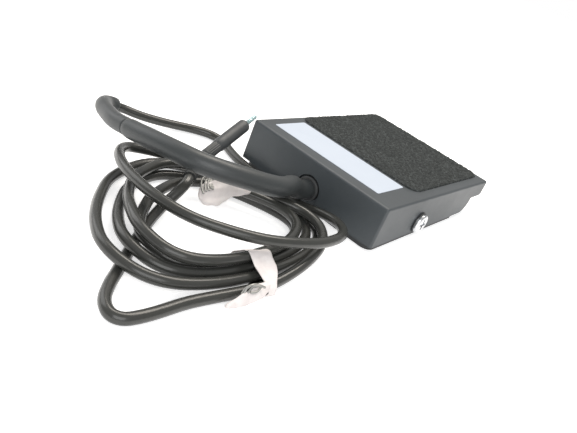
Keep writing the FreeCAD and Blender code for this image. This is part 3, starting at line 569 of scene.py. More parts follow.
ENAMEL = Finish("black_enamel", (0.063, 0.073, 0.080), (0.053, 0.062, 0.068), 0.40, 0.10,
                1500.0, 28.0, 0.00002, 0.18)
GRIT = Finish("grip_grit", (0.034, 0.038, 0.038), (0.098, 0.108, 0.108), 0.86, 0.12,
              950.0, 60.0, 0.0007, 1.0, specular=0.25, pattern=Pattern.GRIT)
LABEL = Finish("label_film", (0.58, 0.64, 0.73), (0.55, 0.61, 0.70), 0.42, 0.08,
               900.0, 35.0, 0.00001, 0.15)
JACKET = Finish("cable_jacket", (0.044, 0.045, 0.041), (0.037, 0.038, 0.035), 0.19, 0.10,
                1600.0, 50.0, 0.00002, 0.2)
SLEEVE = Finish("sleeve_jacket", (0.045, 0.050, 0.052), (0.038, 0.043, 0.044), 0.36, 0.14,
                1100.0, 35.0, 0.00005, 0.3)
RUBBER = Finish("dark_rubber", (0.045, 0.047, 0.048), (0.035, 0.037, 0.038), 0.52)
PLUG = Finish("plug_moulding", (0.055, 0.060, 0.062), (0.042, 0.046, 0.048), 0.40, fine=1300.0)
# Bare metal tinted teal: the teal colour is a painted reflection, not the metal's own colour.
JACK = Finish("jack_tip", (0.52, 0.70, 0.71), (0.44, 0.62, 0.64), 0.24, 0.08,
              1200.0, 90.0, 0.00001, 0.1, metallic=0.75, pattern=Pattern.BRUSHED)
# The darker, pinker second tone is partly the tape's uneven tone and partly painted shade for the
# shadows in the crumples, spread by broad noise.
TIE = Finish("tie_tape", (0.90, 0.86, 0.845), (0.76, 0.70, 0.69), 0.50, 0.12,
             700.0, 130.0, 0.00012, 0.4)
TIE_WIRE = Finish("tie_wire", (0.42, 0.42, 0.40), (0.30, 0.30, 0.29), 0.38, 0.10, metallic=0.8)
CHROME = Finish("bright_screw", (0.80, 0.81, 0.82), (0.62, 0.63, 0.65), 0.14, 0.10,
                1500.0, 90.0, 0.00001, 0.1, metallic=1.0, pattern=Pattern.BRUSHED)
ZINC = Finish("zinc_plate", (0.55, 0.57, 0.59), (0.45, 0.47, 0.49), 0.36, 0.14,
              900.0, 60.0, 0.00002, 0.2, metallic=0.9, pattern=Pattern.BRUSHED)
SPRING = Finish("spring_wire", (0.52, 0.54, 0.56), (0.40, 0.42, 0.44), 0.28, metallic=1.0)
BLACK_PLASTIC = Finish("black_plastic", (0.030, 0.032, 0.034), (0.024, 0.025, 0.027), 0.45)
WHITE_PLASTIC = Finish("white_plastic", (0.72, 0.72, 0.69), (0.64, 0.64, 0.61), 0.42)
SENSOR_CASE = Finish("sensor_case", (0.060, 0.066, 0.072), (0.048, 0.053, 0.058), 0.48)
BROWN_WIRE = Finish("brown_wire", (0.22, 0.10, 0.055), (0.18, 0.08, 0.045), 0.45)
BLUE_WIRE = Finish("blue_wire", (0.06, 0.14, 0.42), (0.05, 0.11, 0.34), 0.45)


def wear(piece: Piece, finish: Finish) -> None:
    """Give a piece one finish on every face.

    Args:
        piece: The piece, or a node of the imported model.
        finish: Its finish.
    """
    if not piece.data.materials:
        piece.data.materials.append(finish.material())
    for slot in piece.material_slots:
        slot.material = finish.material()


def dress(finishes: dict[str, Finish]) -> None:
    """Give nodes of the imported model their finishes, where their own shape is right.

    Args:
        finishes: Finish of each node, where a name without its side means both sides.
    """
    nodes = frame["nodes"]
    for name, finish in finishes.items():
        found = [node for node in (name, f"{name}_left", f"{name}_right") if node in nodes]
        for node in found:
            wear(nodes[node], finish)
        LOG.info("dressed %s in %s", ", ".join(found), finish.name)


def fit(piece: Piece, finish: Finish, body: Body, slot: str, *nodes: str) -> Piece:
    """Give a new piece its finish and body, and hide the nodes that it stands for.

    Args:
        piece: The piece.
        finish: Its finish.
        body: What it rides on.
        slot: Not used.
        nodes: The nodes that it replaces.

    Returns:
        The same piece.
    """
    wear(piece, finish)
    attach(piece, body.value)
    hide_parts(*nodes)
    LOG.info("made %s in %s for %s", piece.name, finish.name, ", ".join(nodes))
    return piece


@dataclass
class Treadle:
    """The steel treadle with its grit pad and its label. Sizes in millimetres."""

    half_length: float = 72.5
    back_height: float = 28.9
    front_height: float = 25.1
    pad_left: float = -48.2
    pad_right: float = 43.0
    pad_rear: float = -29.5
    pad_toe: float = 70.1
    pad_corner: float = 8.0
    pad_thickness: float = 0.75
    # How deep the grains sit in the glue, their height and how sharply few of them stand out.
    sunk: float = 0.1
    grain: float = 0.62
    sharpness: float = 1.6
    # Shares of a grain's own height and of its mean with two neighbours.
    own_share: float = 0.6
    mean_share: float = 0.7
    # How far grains lie off the grid, and the rim's and underside's gap over the steel.
    shake: float = 0.34
    rim_gap: float = 0.02
    under_gap: float = 0.01
    columns: int = 150
    rows: int = 164
    seed: int = 7

    def top(self, y: Points) -> Points:
        """Return the height of the sloping top at y, in millimetres."""
        slope = (self.back_height - self.front_height) / (2 * self.half_length)
        return self.back_height - slope * (y + self.half_length)

    def pad_heights(self) -> tuple[Points, Points, Points]:
        """Work out the pad's upper surface.

        The grid's rows run from rear to toe. Each row spans the rounded outline: near the two
        ends its half width loses the corner radius times 1 - sqrt(1 - t * t), with t the share
        of the corner still to go. The height is the pad's thickness plus seeded random grains,
        and the rim lies on the top.

        Returns:
            Arrays of x, y and z in millimetres.
        """
        size = (self.rows, self.columns)
        along = np.linspace(self.pad_rear, self.pad_toe, self.rows)
        to_end = np.minimum(along - self.pad_rear, self.pad_toe - along)
        share = np.clip(1 - to_end / self.pad_corner, 0, 1)
        loss = self.pad_corner * (1 - np.sqrt(1 - share ** 2))
        across = np.linspace(0, 1, self.columns)
        left = self.pad_left + loss
        right = self.pad_right - loss
        x = left[:, None] + (right - left)[:, None] * across[None]
        y = np.repeat(along[:, None], self.columns, axis=1)
        dice = np.random.default_rng(self.seed)
        grains = dice.random(size) ** self.sharpness
        soft = (grains + np.roll(grains, 1, 0) + np.roll(grains, 1, 1)) / 3
        height = self.own_share * grains + self.mean_share * soft
        z = self.top(y) + self.pad_thickness - self.sunk + self.grain * height
        rim = np.ones(size, bool)
        rim[1:-1, 1:-1] = False
        z = np.where(rim, self.top(y) + self.rim_gap, z)
        shake = self.shake * (dice.random((2, *size)) - 0.5)
        return x + shake[0], y + shake[1], z

    def grip_pad(self) -> None:
        """Make the grit pad: the grained grid above and a plain one below, joined at the rim."""
        x, y, z = self.pad_heights()
        upper = np.stack([x, y, z], axis=-1).reshape(-1, 3)
        lower = np.stack([x, y, self.top(y) + self.under_gap], axis=-1).reshape(-1, 3)
        quads = grid_faces(self.rows, self.columns, wrap=False)
        under = quads[:, ::-1] + len(upper)
        number = np.arange(self.rows * self.columns).reshape(self.rows, self.columns)
        rim = np.concatenate([number[0], number[1:, -1], number[-1, -2::-1], number[-2:0:-1, 0]])
        after = np.roll(rim, -1)
        sides = np.stack([rim, after, after + len(upper), rim + len(upper)], axis=1)
        piece = new_mesh("grip_pad_grit", np.concatenate([upper, lower]) / 1000,
                         np.concatenate([quads, under, sides]).tolist())
        fit(turn_outwards(piece), GRIT, Body.TREADLE, "grip_grit", "grip_pad")

    def build(self) -> None:
        """Dress the treadle's nodes and make its pad."""
        dress({"treadle_cover": ENAMEL, "rating_label": LABEL, "press_boss": BLACK_PLASTIC,
               "spring_cup": BLACK_PLASTIC})
        self.grip_pad()


@dataclass
class Base:
    """The base plate, its sole, the pivots, stops, springs and sensor. Sizes in metres."""

    spring_wire: float = 0.0012
    spring_turns: int = 6
    seated_turn: float = 0.25
    points_per_turn: int = 48
    wire_sides: int = 12
    pressed_share: float = 0.85

    def spring(self, side: str) -> None:
        """Wind one return spring.

        The wire climbs steadily with the angle, except in the first and the last quarter turn,
        which lie flat on their seats.

        Args:
            side: "left" or "right".
        """
        low, high = (np.array(corner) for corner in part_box(f"return_spring_{side}"))
        middle = (low + high) / 2
        wire = self.spring_wire / 2
        radius = (high[0] - low[0]) / 2 - wire
        foot, head = low[2] + wire, high[2] - wire
        count = self.spring_turns
        turns = np.linspace(0, count, self.points_per_turn * count + 1)
        climb = np.clip((turns - self.seated_turn) / (count - 2 * self.seated_turn), 0, 1)
        path = np.stack([middle[0] + radius * np.cos(FULL_TURN * turns),
                         middle[1] + radius * np.sin(FULL_TURN * turns),
                         foot + (head - foot) * climb], axis=1)
        piece = sweep(f"spring_wound_{side}", path, np.full((len(path), self.wire_sides), wire))
        fit(piece, SPRING, Body.BASE, "spring_wire", f"return_spring_{side}")
        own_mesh(piece)

    def build(self) -> None:
        """Dress the base's nodes and wind its springs."""
        dress({
            "sole_mat": RUBBER, "base_plate": ENAMEL, "pivot_screw": CHROME,
            "pivot_washer": BLACK_PLASTIC, "pivot_spacer": WHITE_PLASTIC, "pivot_nut": ZINC,
            "rest_post": ZINC, "rest_cap": RUBBER, "stop_buffer": RUBBER, "spring_stud": ZINC,
            "sensor_body": SENSOR_CASE, "sensor_plunger": WHITE_PLASTIC,
            "sensor_screw": CHROME, "cable_clamp": BLACK_PLASTIC, "clamp_screw": CHROME,
            "wire_live": BROWN_WIRE, "wire_return": BLUE_WIRE, "inner_cable": JACKET,
        })
        self.spring("left")
        self.spring("right")


@dataclass(frozen=True)
class Sleeve:
    """One length of sleeve over the cable, a little uneven round its wall."""

    name: str
    node: str
    route: list[Point]
    width: float
    # Its width's share at the start, and how much of it goes by the end.
    flare: float
    taper: float
    # The drawn-in lip's share of the length, and the width's share at its mouth.
    lip: float
    mouth: float
    # The unevenness: its size, then waves along and round for a sine and round and along for
    # the cosine that times it.
    wave: tuple[float, float, int, int, float]
    sides: int = 28

    def build(self, path: Points) -> Piece:
        """Make the sleeve.

        The radius falls evenly along the sleeve, and as a square root over the lip.

        Args:
            path: The cable's points inside it, in metres.

        Returns:
            The sleeve.
        """
        share = np.linspace(0, 1, len(path))
        size, sine_along, sine_round, cosine_round, cosine_along = self.wave
        angles, length = round_angles(self.sides), share[:, None]
        ripple = 1 + (size * np.sin(sine_along * length + sine_round * angles)
                      * np.cos(cosine_round * angles + cosine_along * length))
        lip = np.clip((1 - share) / self.lip, 0, 1) ** 0.5
        radii = (self.width / 2 * (self.flare - self.taper * share)
                 * (self.mouth + (1 - self.mouth) * lip))
        piece = sweep(self.name, path, radii[:, None] * ripple)
        return fit(piece, SLEEVE, Body.BASE, "sleeve_jacket", self.node)


@dataclass
class Cable:
    """The cable from the gland to the plug, with the gland and the two sleeves over it."""

    cable: float = 0.00535
    coil: Coil = field(default_factory=Coil)
    wide_sleeve: Sleeve = Sleeve("sleeve_wide", "cord_sleeve", SLEEVE_ROUTE, 0.0108,
                                 1.04, 0.10, 0.02, 0.9, (0.006, 34, 2, 1, 5))
    narrow_sleeve: Sleeve = Sleeve("sleeve_narrow", "cord_sleeve_end", SLEEVE_END_ROUTE, 0.0092,
                                   1.0, 0.0, 0.03, 0.82, (0.008, 21, 1, 0, 0))
    # The gland's distance behind the wall's outer face and its radius, in millimetres.
    gland_profile: tuple[Pair, ...] = (
        (0, 3.1), (0, 6.2), (0.15, 6.8), (0.6, 7.15), (1.1, 7.2), (3.2, 7.2), (3.4, 7.0),
        (3.4, 5.5), (4.9, 5.5), (4.9, 7.2), (6.7, 7.2), (6.9, 6.9), (6.9, 3.1))
    gland_sides: int = 48
    path: Points = field(default_factory=lambda: np.zeros((0, 3)))
    line: Piece | None = None

    def route(self) -> Points:
        """Return the whole route from the gland to the plug's relief, in metres."""
        return at(SLEEVE_ROUTE + SLEEVE_END_ROUTE[1:] + LEAD_ROUTE[1:] + self.coil.points()
                  + TAIL_ROUTE)

    def spline(self) -> None:
        """Make the cable: one open spline that its route's points control.

        The points that the spline itself gives are kept for what lies on the cable.
        """
        points = self.route()
        curve = bpy.data.curves.new("cable_line", "CURVE")
        curve.dimensions = "3D"
        spline = curve.splines.new("NURBS")
        spline.points.add(len(points) - 1)
        weighted = np.concatenate([points, np.ones((len(points), 1))], axis=1)
        spline.points.foreach_set("co", weighted.ravel())
        spline.order_u = 3
        spline.use_endpoint_u = True
        spline.resolution_u = 8
        self.line = bpy.data.objects.new("cable_line", curve)
        bpy.context.scene.collection.objects.link(self.line)
        bpy.context.view_layer.update()
        seen = self.line.evaluated_get(bpy.context.evaluated_depsgraph_get())
        mesh = bpy.data.meshes.new_from_object(seen)
        flat = np.zeros(len(mesh.vertices) * 3)
        mesh.vertices.foreach_get("co", flat)
        self.path = flat.reshape(-1, 3)
        bpy.data.meshes.remove(mesh)
        curve.bevel_depth = self.cable / 2
        curve.bevel_resolution = 4
        curve.use_fill_caps = True

    def stretch(self, route: list[Point]) -> Points:
        """Find the cable's own points along a part of its route.

        Args:
            route: Route points in millimetres, of which the first and last are used.

        Returns:
            The spline's points between those nearest to the two, in metres.
        """
        first, last = (int(np.argmin(np.linalg.norm(self.path - point, axis=1)))
                       for point in at([route[0], route[-1]]))
        return self.path[first:last + 1]

    def build(self) -> list[Piece]:
        """Make the cable, its sleeves and its gland.

        Returns:
            The pieces that lie on the cable.
        """
        self.spline()
        fit(self.line, JACKET, Body.BASE, "cable_jacket", "cord_lead", "cord_coil", "cord_tail")
        sleeves = [sleeve.build(self.stretch(sleeve.route))
                   for sleeve in (self.wide_sleeve, self.narrow_sleeve)]
        gland = lathe("gland_bead", at([SLEEVE_ROUTE[0]])[0], np.array([0.0, 1.0, 0.0]),
                      self.gland_profile, self.gland_sides)
        return sleeves + [fit(gland, RUBBER, Body.BASE, "gland_rubber", "cable_gland")]

    def declare(self) -> None:
        """Log the cable's length.
        """
        steps = np.linalg.norm(np.diff(self.path, axis=0), axis=1)
        LOG.info("the cable is %.3f m long", steps.sum())


@dataclass
class Plug:
    """The jack plug with its fluted neck and ribbed strain relief. Sizes in millimetres."""

    grip: float = 24.0
    # The relief: its bend before the neck, radius, growth, ribs and the share that has them.
    bend: float = 6.0
    relief_radius: float = 2.85
    relief_growth: float = 0.2
    ribs: int = 7
    rib_height: float = 0.55
    ribbed_share: float = 0.93
    relief_stations: int = 120
    relief_sides: int = 28
    # The fluted stretch: radius, stations, margins from the neck's start and end, flutes.
    neck_radius: float = 3.3
    stations: int = 18
    flute_margins: Pair = (1.6, 2.4)
    flutes: int = 18
    flute_depth: float = 0.45
    grip_sides: int = 72
    jack_sides: int = 36
    # Stations from the neck's start, from the shoulder and from the grip's end.
    butt: tuple[Pair, ...] = ((0, 2.3), (0.0, 2.8), (0.5, 3.2), (1.5, 3.3))
    shoulder: tuple[Pair, ...] = ((-2.2, 3.3), (-1.2, 3.5), (0, 3.68), (0.6, 3.72))
    nose: tuple[Pair, ...] = ((-1.6, 3.72), (-0.7, 3.6), (-0.15, 3.3), (0, 2.9), (0, 1.0))
    # The jack: collar, shaft with two insulating rings, and pointed tip.
    jack_profile: tuple[Pair, ...] = (
        (0, 0.9), (0, 2.0), (0.2, 2.1), (0.6, 2.1), (0.8, 1.9), (0.8, 1.25), (4.0, 1.25),
        (4.1, 1.15), (4.5, 1.15), (4.6, 1.25), (7.2, 1.25), (7.3, 1.15), (7.7, 1.15),
        (7.8, 1.25), (8.8, 1.25), (9.3, 0.95), (9.7, 0.9), (10.2, 1.18), (10.7, 1.2),
        (11.4, 0.85), (11.9, 0.35), (12.0, 0.08))

    def axis(self) -> tuple[Points, Points, float]:
        """Find where the neck and grip lie.

        Returns:
            Their start in metres, unit direction, and length in millimetres.
        """
        start, end = at([RELIEF_START, JACK_START])
        length = float(np.linalg.norm(end - start))
        return start, (end - start) / length, length * 1000

    def relief(self) -> Piece:
        """Make the relief: a tapering tube with rounded ribs, bent where it enters the grip.

        Its middle line is a quadratic curve from the cable's end through a corner on the plug's
        axis. The radius is a taper plus a raised cosine for each rib.

        Returns:
            The relief.
        """
        start, way, _ = self.axis()
        rear = at([TAIL_ROUTE[-1]])[0]
        corner = start - way * self.bend / 1000
        share = np.linspace(0, 1, self.relief_stations)
        path = np.stack([(1 - share) ** 2, 2 * (1 - share) * share, share ** 2], axis=1)
        path = path @ np.stack([rear, corner, start])
        ribs = np.clip(np.cos(share * FULL_TURN * self.ribs), 0, 1) ** 0.6
        body = self.relief_radius + self.relief_growth * share
        radii = (body + self.rib_height * ribs * (share < self.ribbed_share)) / 1000
        piece = sweep("relief_ribbed", path, radii[:, None] * np.ones(self.relief_sides))
        return fit(piece, RUBBER, Body.BASE, "relief_rubber", "plug_relief")

    def body(self) -> Piece:
        """Turn the grip: fluted neck, shoulder, straight grip and rounded nose.

        Returns:
            The grip.
        """
        start, way, length = self.axis()
        neck = length - self.grip
        first, last = self.flute_margins[0], neck - self.flute_margins[1]
        profile = [*self.butt,
                   *((x, self.neck_radius) for x in np.linspace(first, last, self.stations)),
                   *((neck + x, radius) for x, radius in self.shoulder),
                   *((length + x, radius) for x, radius in self.nose)]
        piece = lathe("plug_grip_turned", start, way, profile, self.grip_sides,
                      (first, last, self.flutes, self.flute_depth))
        return fit(piece, PLUG, Body.BASE, "plug_plastic", "plug_grip")

    def jack(self) -> Piece:
        """Turn the jack from its profile.

        Returns:
            The jack.
        """
        start, way, length = self.axis()
        piece = lathe("jack_turned", start + way * length / 1000, way, self.jack_profile,
                      self.jack_sides)
        return fit(piece, JACK, Body.BASE, "jack_metal", "plug_jack")

    def build(self) -> list[Piece]:
        """Make the plug's three pieces and return them."""
        return [self.relief(), self.body(), self.jack()]


@dataclass(frozen=True)
class Tie:
    """A crumpled strip tie: a band round the cords, and its loose end twisted together.

    Sizes are in millimetres. The outline's corners are the cords' middles across and above the
    place. A loose point has a half width behind its place, and wires are bare ends.
    """

    name: str
    node: str
    place: Pair
    way: Pair
    outline: tuple[Pair, ...]
    loose: tuple[tuple[float, float, float, float], ...]
    wires: tuple[tuple[Point, ...], ...]
    seed: int
    width: float
    # The share of the width that the band loses at the knot, over how much of the turn.
    pinch: float
    pinch_reach: float = 1.25
    pinch_power: float = 1.1
    # The band's gap from the cords' middles, its thickness, fold height and least height.
    clear: float = 3.1
    thickness: float = 0.4
    crumple: float = 0.75
    lowest: float = 0.25
    fold_lengths: tuple[float, ...] = (3.1, 4.3, 5.9, 8.3, 11.0)
    # The folds' share at the band's edges, and the inner face's share of the outer's.
    edge_folds: float = 0.35
    inner_folds: float = 0.6
    # The band's waves: at its edges, from side to side, and their count round the loop.
    edge_wave: float = 0.03
    sway: float = 0.8
    waves: int = 5
    slack: float = 0.97
    loops: int = 150
    strips: int = 22
    # The loose end: stations, sides, twist, raggedness, half thickness and its folds.
    stations: int = 90
    sides: int = 40
    twist: Pair = (0.98, 0.25)
    ragged: Pair = (0.06, 0.03)
    half_thickness: float = 0.5
    loose_folds: float = 1.9
    closing: float = 0.05
    wire_radius: float = 0.55
    wire_sides: int = 10

    def axes(self) -> tuple[Points, Points, Points]:
        """Find the band's own axes.

        Returns:
            Its middle in millimetres, its width's direction and the sideways direction.
        """
        way = unit(np.array([*self.way, 0.0]))
        middle = at([(*self.place, 0.0)])[0] * 1000
        return middle, way, np.array([-way[1], way[0], 0.0])

    def crumples(self, first: Points, second: Points, dice: np.random.Generator) -> Points:
        """Work out folds over a surface with two parameters in millimetres.

        The fold height is the sum of sharp ridges 1 - |sin| of plane waves in random directions
        and the given wavelengths, longer ones higher, scaled to 0..1.

        Args:
            first: First parameter at each point.
            second: Second parameter at each point.
            dice: Source of the waves.

        Returns:
            Fold heights.
        """
        total = np.zeros(np.broadcast(first, second).shape)
        weights = 0.0
        for length in self.fold_lengths:
            angle, shift = dice.uniform(0, math.pi), dice.uniform(0, 9)
            along = first * math.cos(angle) + second * math.sin(angle)
            weight = length ** 0.6
            total = total + weight * (1 - np.abs(np.sin(along * math.pi / length + shift)))
            weights += weight
        return total / weights

    def loop(self) -> tuple[Points, Points]:
        """Work out the band's inner line in its own plane.

        The line is the outline's support: in each direction the farthest corner plus the
        clearance. It is then spaced evenly by length.

        Returns:
            Points (across, height) and outward directions.
        """
        angles = round_angles(1440)
        outward = np.stack([np.cos(angles), np.sin(angles)], axis=1)
        corners = np.array(self.outline)
        line = corners[np.argmax(outward @ corners.T, axis=1)] + self.clear * outward
        closed = np.concatenate([line, line[:1]])
        steps = np.linalg.norm(np.diff(closed, axis=0), axis=1)
        length = np.concatenate([[0], np.cumsum(steps)])
        even = np.linspace(0, length[-1], self.loops, endpoint=False)
        places = np.stack([np.interp(even, length, column) for column in closed.T], axis=1)
        ways = np.roll(places, -1, 0) - np.roll(places, 1, 0)
        return places, unit(np.stack([ways[:, 1], -ways[:, 0]], axis=1))

    def band(self, dice: np.random.Generator) -> tuple[Points, Points]:
        """Work out the band's vertices and faces.

        Each station of the loop has a ring: the outer face from one edge to the other, then the
        inner face back. The outer face is lifted by the folds. The band's width loses the pinch
        times a power of the closeness to the knot, and it shifts by slow waves. The floor stops
        it from below.

        Args:
            dice: Source of the folds.

        Returns:
            Vertices in millimetres and quads.
        """
        middle, way, across = self.axes()
        places, normals = self.loop()
        share = np.linspace(-1, 1, self.strips)
        turn = round_angles(self.loops)[:, None]
        from_knot = np.minimum(turn, FULL_TURN - turn) / self.pinch_reach
        narrow = (1 - self.pinch * np.clip(1 - from_knot, 0, 1) ** self.pinch_power
                  - self.edge_wave * np.sin(self.waves * turn))
        slide = 0.5 * np.sin(turn + 1.3 * self.seed) + 0.25 * np.sin(self.waves * turn)
        along = self.width / 2 * share[None] * narrow * self.slack + self.sway * slide
        round_way = np.arange(self.loops)[:, None] * np.linalg.norm(places[1] - places[0])
        folds = self.crumples(round_way, along, dice) * self.crumple
        folds = folds * (self.edge_folds + (1 - self.edge_folds) * (1 - share[None] ** 6))
        inner = folds * self.inner_folds
        lift = np.concatenate([inner + self.thickness, inner[:, ::-1]], axis=1)
        length = np.concatenate([along, along[:, ::-1]], axis=1)
        flat = places[:, None] + lift[..., None] * normals[:, None]
        points = (middle + flat[..., :1] * across + length[..., None] * way
                  + flat[..., 1:] * np.array(UP)).reshape(-1, 3)
        points[:, 2] = np.maximum(points[:, 2], self.lowest)
        return points, grid_faces(self.loops + 1, 2 * self.strips, wrap=True) % len(points)

    def tail(self, dice: np.random.Generator, first: int) -> tuple[Points, list[list[int]]]:
        """Work out the twisted loose end.

        A flat section follows the path: half width w and half thickness t at angle a give
        w cos(a) along one direction and t sin(a) along the other, both turned by a slow twist.
        The half widths run between the knots' own, and the folds swell the thickness.

        Args:
            dice: Source of the folds.
            first: Number of the first vertex.

        Returns:
            Vertices in millimetres and faces.
        """
        knots = np.array(self.loose)
        knots[:, :3] = at(knots[:, :3]) * 1000
        course = eased(knots, self.stations)
        path = course[:, :3]
        share = np.linspace(0, 1, self.stations)
        angle = round_angles(self.sides)[None]
        twist = (self.twist[0] + self.twist[1] * np.sin(7 * share + self.seed))[:, None]
        ragged = (1 + self.ragged[0] * np.sin(17 * share + self.seed)
                  + self.ragged[1] * np.sin(31 * share))
        half_width = (course[:, 3] * ragged)[:, None]
        close = np.clip(np.minimum(share, 1 - share) / self.closing, 0, 1)[:, None] ** 0.5
        folds = self.crumples(share[:, None] * 14, half_width * np.cos(angle) * 1.3, dice)
        wide = half_width * np.cos(angle) * (0.55 + 0.45 * close)
        thick = ((self.half_thickness + self.loose_folds * folds) * np.sin(angle)
                 * (0.3 + 0.7 * close))
        vertices, faces = closed_tube(
            path, unit(np.gradient(path, axis=0)),
            wide * np.cos(twist) - thick * np.sin(twist),
            wide * np.sin(twist) + thick * np.cos(twist), first)
        vertices[:, 2] = np.maximum(vertices[:, 2], self.lowest)
        return vertices, faces

    def add_wires(self, piece: Piece) -> None:
        """Add the bare wire that sticks out of the crumpled end to the tie's mesh.

        Args:
            piece: The tie, which gets the wire's finish as its second material.
        """
        piece.data.materials.append(TIE_WIRE.material())
        work = bmesh.new()
        work.from_mesh(piece.data)
        for number, knots in enumerate(self.wires):
            path = eased(at(knots), 12 * len(knots))
            reach = np.full((len(path), self.wire_sides), self.wire_radius / 1000)
            wire = sweep(f"{self.name}_wire_{number}", path, reach)
            for face in wire.data.polygons:
                face.material_index = 1
            work.from_mesh(wire.data)
            bpy.data.objects.remove(wire)
        work.to_mesh(piece.data)
        work.free()

    def build(self) -> Piece:
        """Make the tie.

        Returns:
            The band and its loose end as one piece.
        """
        dice = np.random.default_rng(self.seed)
        vertices, quads = self.band(dice)
        more, faces = self.tail(dice, len(vertices))
        piece = new_mesh(self.name, np.concatenate([vertices, more]) / 1000,
                         quads.tolist() + faces)
        fit(turn_outwards(piece), TIE, Body.BASE, "tie_strip", self.node)
        self.add_wires(piece)
        return piece


FRONT_TIE = Tie(
    "tie_front_strip", "tie_front", (41.8, -82.0), (-0.3, -0.95),
    ((-15.4, 3.0), (5.8, 2.8), (6.2, 2.8), (-7.6, 8.8), (-9.2, 8.2)),
    ((49.4, -87.0, 6.0, 2.4), (50.2, -91.0, 7.0, 2.7), (51.0, -96.2, 7.0, 3.1),
     (51.1, -100.5, 6.4, 3.1), (50.4, -104.2, 5.0, 2.7), (49.3, -107.7, 3.4, 2.0),
     (47.8, -111.6, 2.0, 0.7)),
    (((49.4, -103.9, 7.5), (48.6, -102.1, 9.5), (48.9, -99.6, 10.6), (49.8, -97.1, 10.6),
      (51.2, -95.8, 9.8), (51.8, -98.4, 8.6), (50.8, -101.7, 8.4)),
     ((48.8, -104.6, 7.2), (47.9, -101.6, 9.0), (48.6, -98.6, 10.2), (50.4, -94.9, 10.0)),
     ((50.2, -102.6, 8.0), (49.4, -99.4, 10.0), (50.6, -96.2, 10.4), (52.0, -93.6, 9.4))),
    seed=3, width=12.0, pinch=0.70)
REAR_TIE = Tie(
    "tie_rear_strip", "tie_rear", (-22.0, -43.8), (0.75, 0.66),
    ((-5.9, 8.7), (2.1, 2.8), (10.4, 2.8), (3.2, 8.7)),
    ((-8.3, -38.2, 10.4, 0.9), (-10.5, -43.1, 11.0, 2.6), (-12.4, -48.2, 11.0, 3.8),
     (-13.2, -54.0, 10.6, 5.2), (-13.3, -61.1, 10.2, 6.6), (-14.8, -66.0, 10.0, 6.2),
     (-17.3, -69.4, 10.0, 2.6)),
    (((-12.0, -71.5, 12.5), (-17.5, -68.2, 13.2), (-21.6, -64.3, 13.6), (-23.2, -60.8, 14.0),
      (-22.7, -57.7, 14.2), (-21.0, -56.3, 14.0), (-17.4, -59.2, 13.6), (-13.2, -64.1, 12.8)),
     ((-12.7, -69.1, 12.8), (-18.0, -65.5, 13.6), (-20.7, -61.6, 14.2), (-19.6, -60.3, 14.2),
      (-14.6, -64.6, 13.2)),
     ((-12.5, -67.4, 13.2), (-17.1, -64.4, 14.0), (-20.6, -60.0, 14.6), (-18.6, -59.9, 14.2),
      (-13.4, -64.8, 13.4))),
    seed=5, width=9.5, pinch=0.3)


def axes_matrix(first: Points, second: Points, third: Points, place: Point) -> Matrix:
    """Build a 4 by 4 matrix from three unit directions and a place."""
    return Matrix([*np.column_stack([first, second, third, place]).tolist(), [0, 0, 0, 1]])


@dataclass(frozen=True)
class Lamp:
    """One soft rectangular lamp, aimed at the object's middle."""

    name: str
    place: Point
    size: Pair
    watts: float
    colour: Colour = (1.0, 1.0, 1.0)

    def build(self, target: Point) -> None:
        """Add the lamp.

        Args:
            target: Point it faces.
        """
        light = bpy.data.lights.new(self.name, "AREA")
        light.shape = "RECTANGLE"
        light.size, light.size_y = self.size
        light.energy = self.watts
        light.color = self.colour
        lamp = bpy.data.objects.new(self.name, light)
        bpy.context.scene.collection.objects.link(lamp)
        back = unit(np.array(self.place) - np.array(target))
        side = unit(np.cross(UP, back))
        lamp.matrix_world = axes_matrix(side, np.cross(back, side), back, self.place)


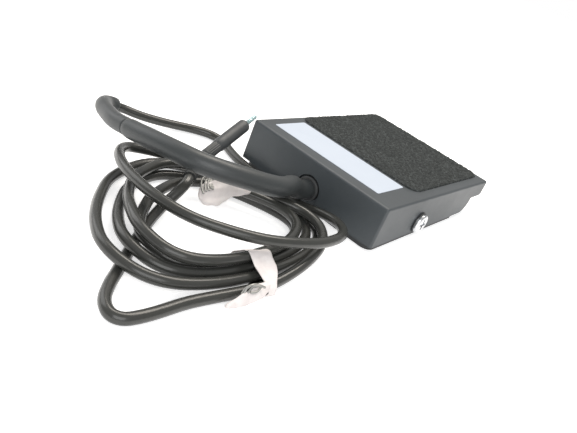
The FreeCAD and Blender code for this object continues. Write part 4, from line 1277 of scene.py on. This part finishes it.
@dataclass
class Studio:
    """The photograph's camera, white floor and soft light. Places in metres."""

    place: Point = (0.163236, -0.371109, 0.160201)
    right: Point = (0.71908, 0.60138, 0.34822)
    down: Point = (0.54008, -0.16830, -0.82462)
    forward: Point = (-0.43730, 0.78104, -0.44581)
    sensor: float = 36.0
    lens: float = 41.03
    middle: Point = (-0.03, -0.06, 0.01)
    lamps: tuple[Lamp, ...] = (
        Lamp("key_overhead", (-0.25, 0.35, 0.95), (0.9, 0.42), 8.8, (1.0, 0.93, 0.84)),
        Lamp("fill_camera_side", (0.55, -0.75, 0.55), (0.9, 0.7), 5.8),
        Lamp("fill_left", (-0.95, -0.25, 0.50), (0.7, 0.7), 2.8),
    )
    floor_reach: float = 3.0
    floor_height: float = -0.0002
    floor_tone: float = 0.86
    # Light that only the camera and mirrors see on the floor, and the world's two strengths.
    floor_glow: float = 0.60
    sky_light: float = 0.5
    sky_seen: float = 1.0

    def camera(self) -> None:
        """Place the camera solved from the photograph."""
        data = bpy.data.cameras.new("photo_camera")
        data.sensor_width = self.sensor
        data.lens = self.lens
        data.clip_start = 0.01
        camera = bpy.data.objects.new("photo_camera", data)
        bpy.context.scene.collection.objects.link(camera)
        up, back = -np.array(self.down), -np.array(self.forward)
        camera.matrix_world = axes_matrix(self.right, up, back, self.place)
        bpy.context.scene.camera = camera

    def floor(self) -> None:
        """Lay a white floor that glows for the camera and mirrors and keeps the shadow."""
        corners = np.array([(-1, -1, 0), (1, -1, 0), (1, 1, 0), (-1, 1, 0)]) * self.floor_reach
        floor = new_mesh("floor", corners + np.array([0, 0, self.floor_height]), [[0, 1, 2, 3]])
        made = bpy.data.materials.new("floor_white")
        made.use_nodes = True
        tree = NodeTree(made.node_tree)
        diffuse = tree.add("ShaderNodeBsdfPrincipled", {
            "Base Color": (self.floor_tone, self.floor_tone, self.floor_tone, 1),
            "Roughness": 0.9, "Specular IOR Level": 0.0})
        glow = tree.add("ShaderNodeEmission", {"Color": (1, 1, 1, 1), "Strength": self.floor_glow})
        dark = tree.add("ShaderNodeEmission", {"Strength": 0.0})
        rays = tree.add("ShaderNodeLightPath").outputs
        seen = tree.math("MAXIMUM", rays["Is Camera Ray"], rays["Is Glossy Ray"])
        seen = tree.math("MAXIMUM", seen, rays["Is Transmission Ray"])
        chosen = tree.add("ShaderNodeMixShader", {
            0: seen, 1: dark.outputs[0], 2: glow.outputs[0]})
        both = tree.add("ShaderNodeAddShader", {0: diffuse.outputs["BSDF"], 1: chosen.outputs[0]})
        tree.add("ShaderNodeOutputMaterial", {"Surface": both.outputs[0]})
        floor.data.materials.append(made)

    def world(self) -> None:
        """Set a grey world that the camera sees as white."""
        world = bpy.data.worlds.new("studio_world")
        bpy.context.scene.world = world
        world.use_nodes = True
        tree = NodeTree(world.node_tree)
        rays = tree.add("ShaderNodeLightPath").outputs
        seen = tree.math("MAXIMUM", rays["Is Camera Ray"], rays["Is Transmission Ray"])
        strength = tree.add("ShaderNodeMapRange", {
            "To Min": self.sky_light, "To Max": self.sky_seen, "Value": seen})
        sky = tree.add("ShaderNodeBackground", {
            "Color": (1, 1, 1, 1), "Strength": strength.outputs[0]})
        tree.add("ShaderNodeOutputWorld", {"Surface": sky.outputs[0]})

    def build(self) -> None:
        """Build the whole studio."""
        self.camera()
        self.floor()
        self.world()
        for lamp in self.lamps:
            lamp.build(self.middle)
        bpy.context.scene.view_settings.view_transform = "Standard"
        LOG.info("built the studio with %d lamps", len(self.lamps))


def main() -> None:
    logging.basicConfig(level=logging.INFO, format="%(name)s: %(message)s")
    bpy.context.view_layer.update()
    build_mottle()
    build_grit()
    build_brushed()
    Treadle().build()
    Base().build()
    cable = Cable()
    pieces = cable.build()
    pieces += Plug().build()
    pieces += [FRONT_TIE.build(), REAR_TIE.build()]
    cable.declare()
    Studio().build()


if __name__ == "__main__":
    main()
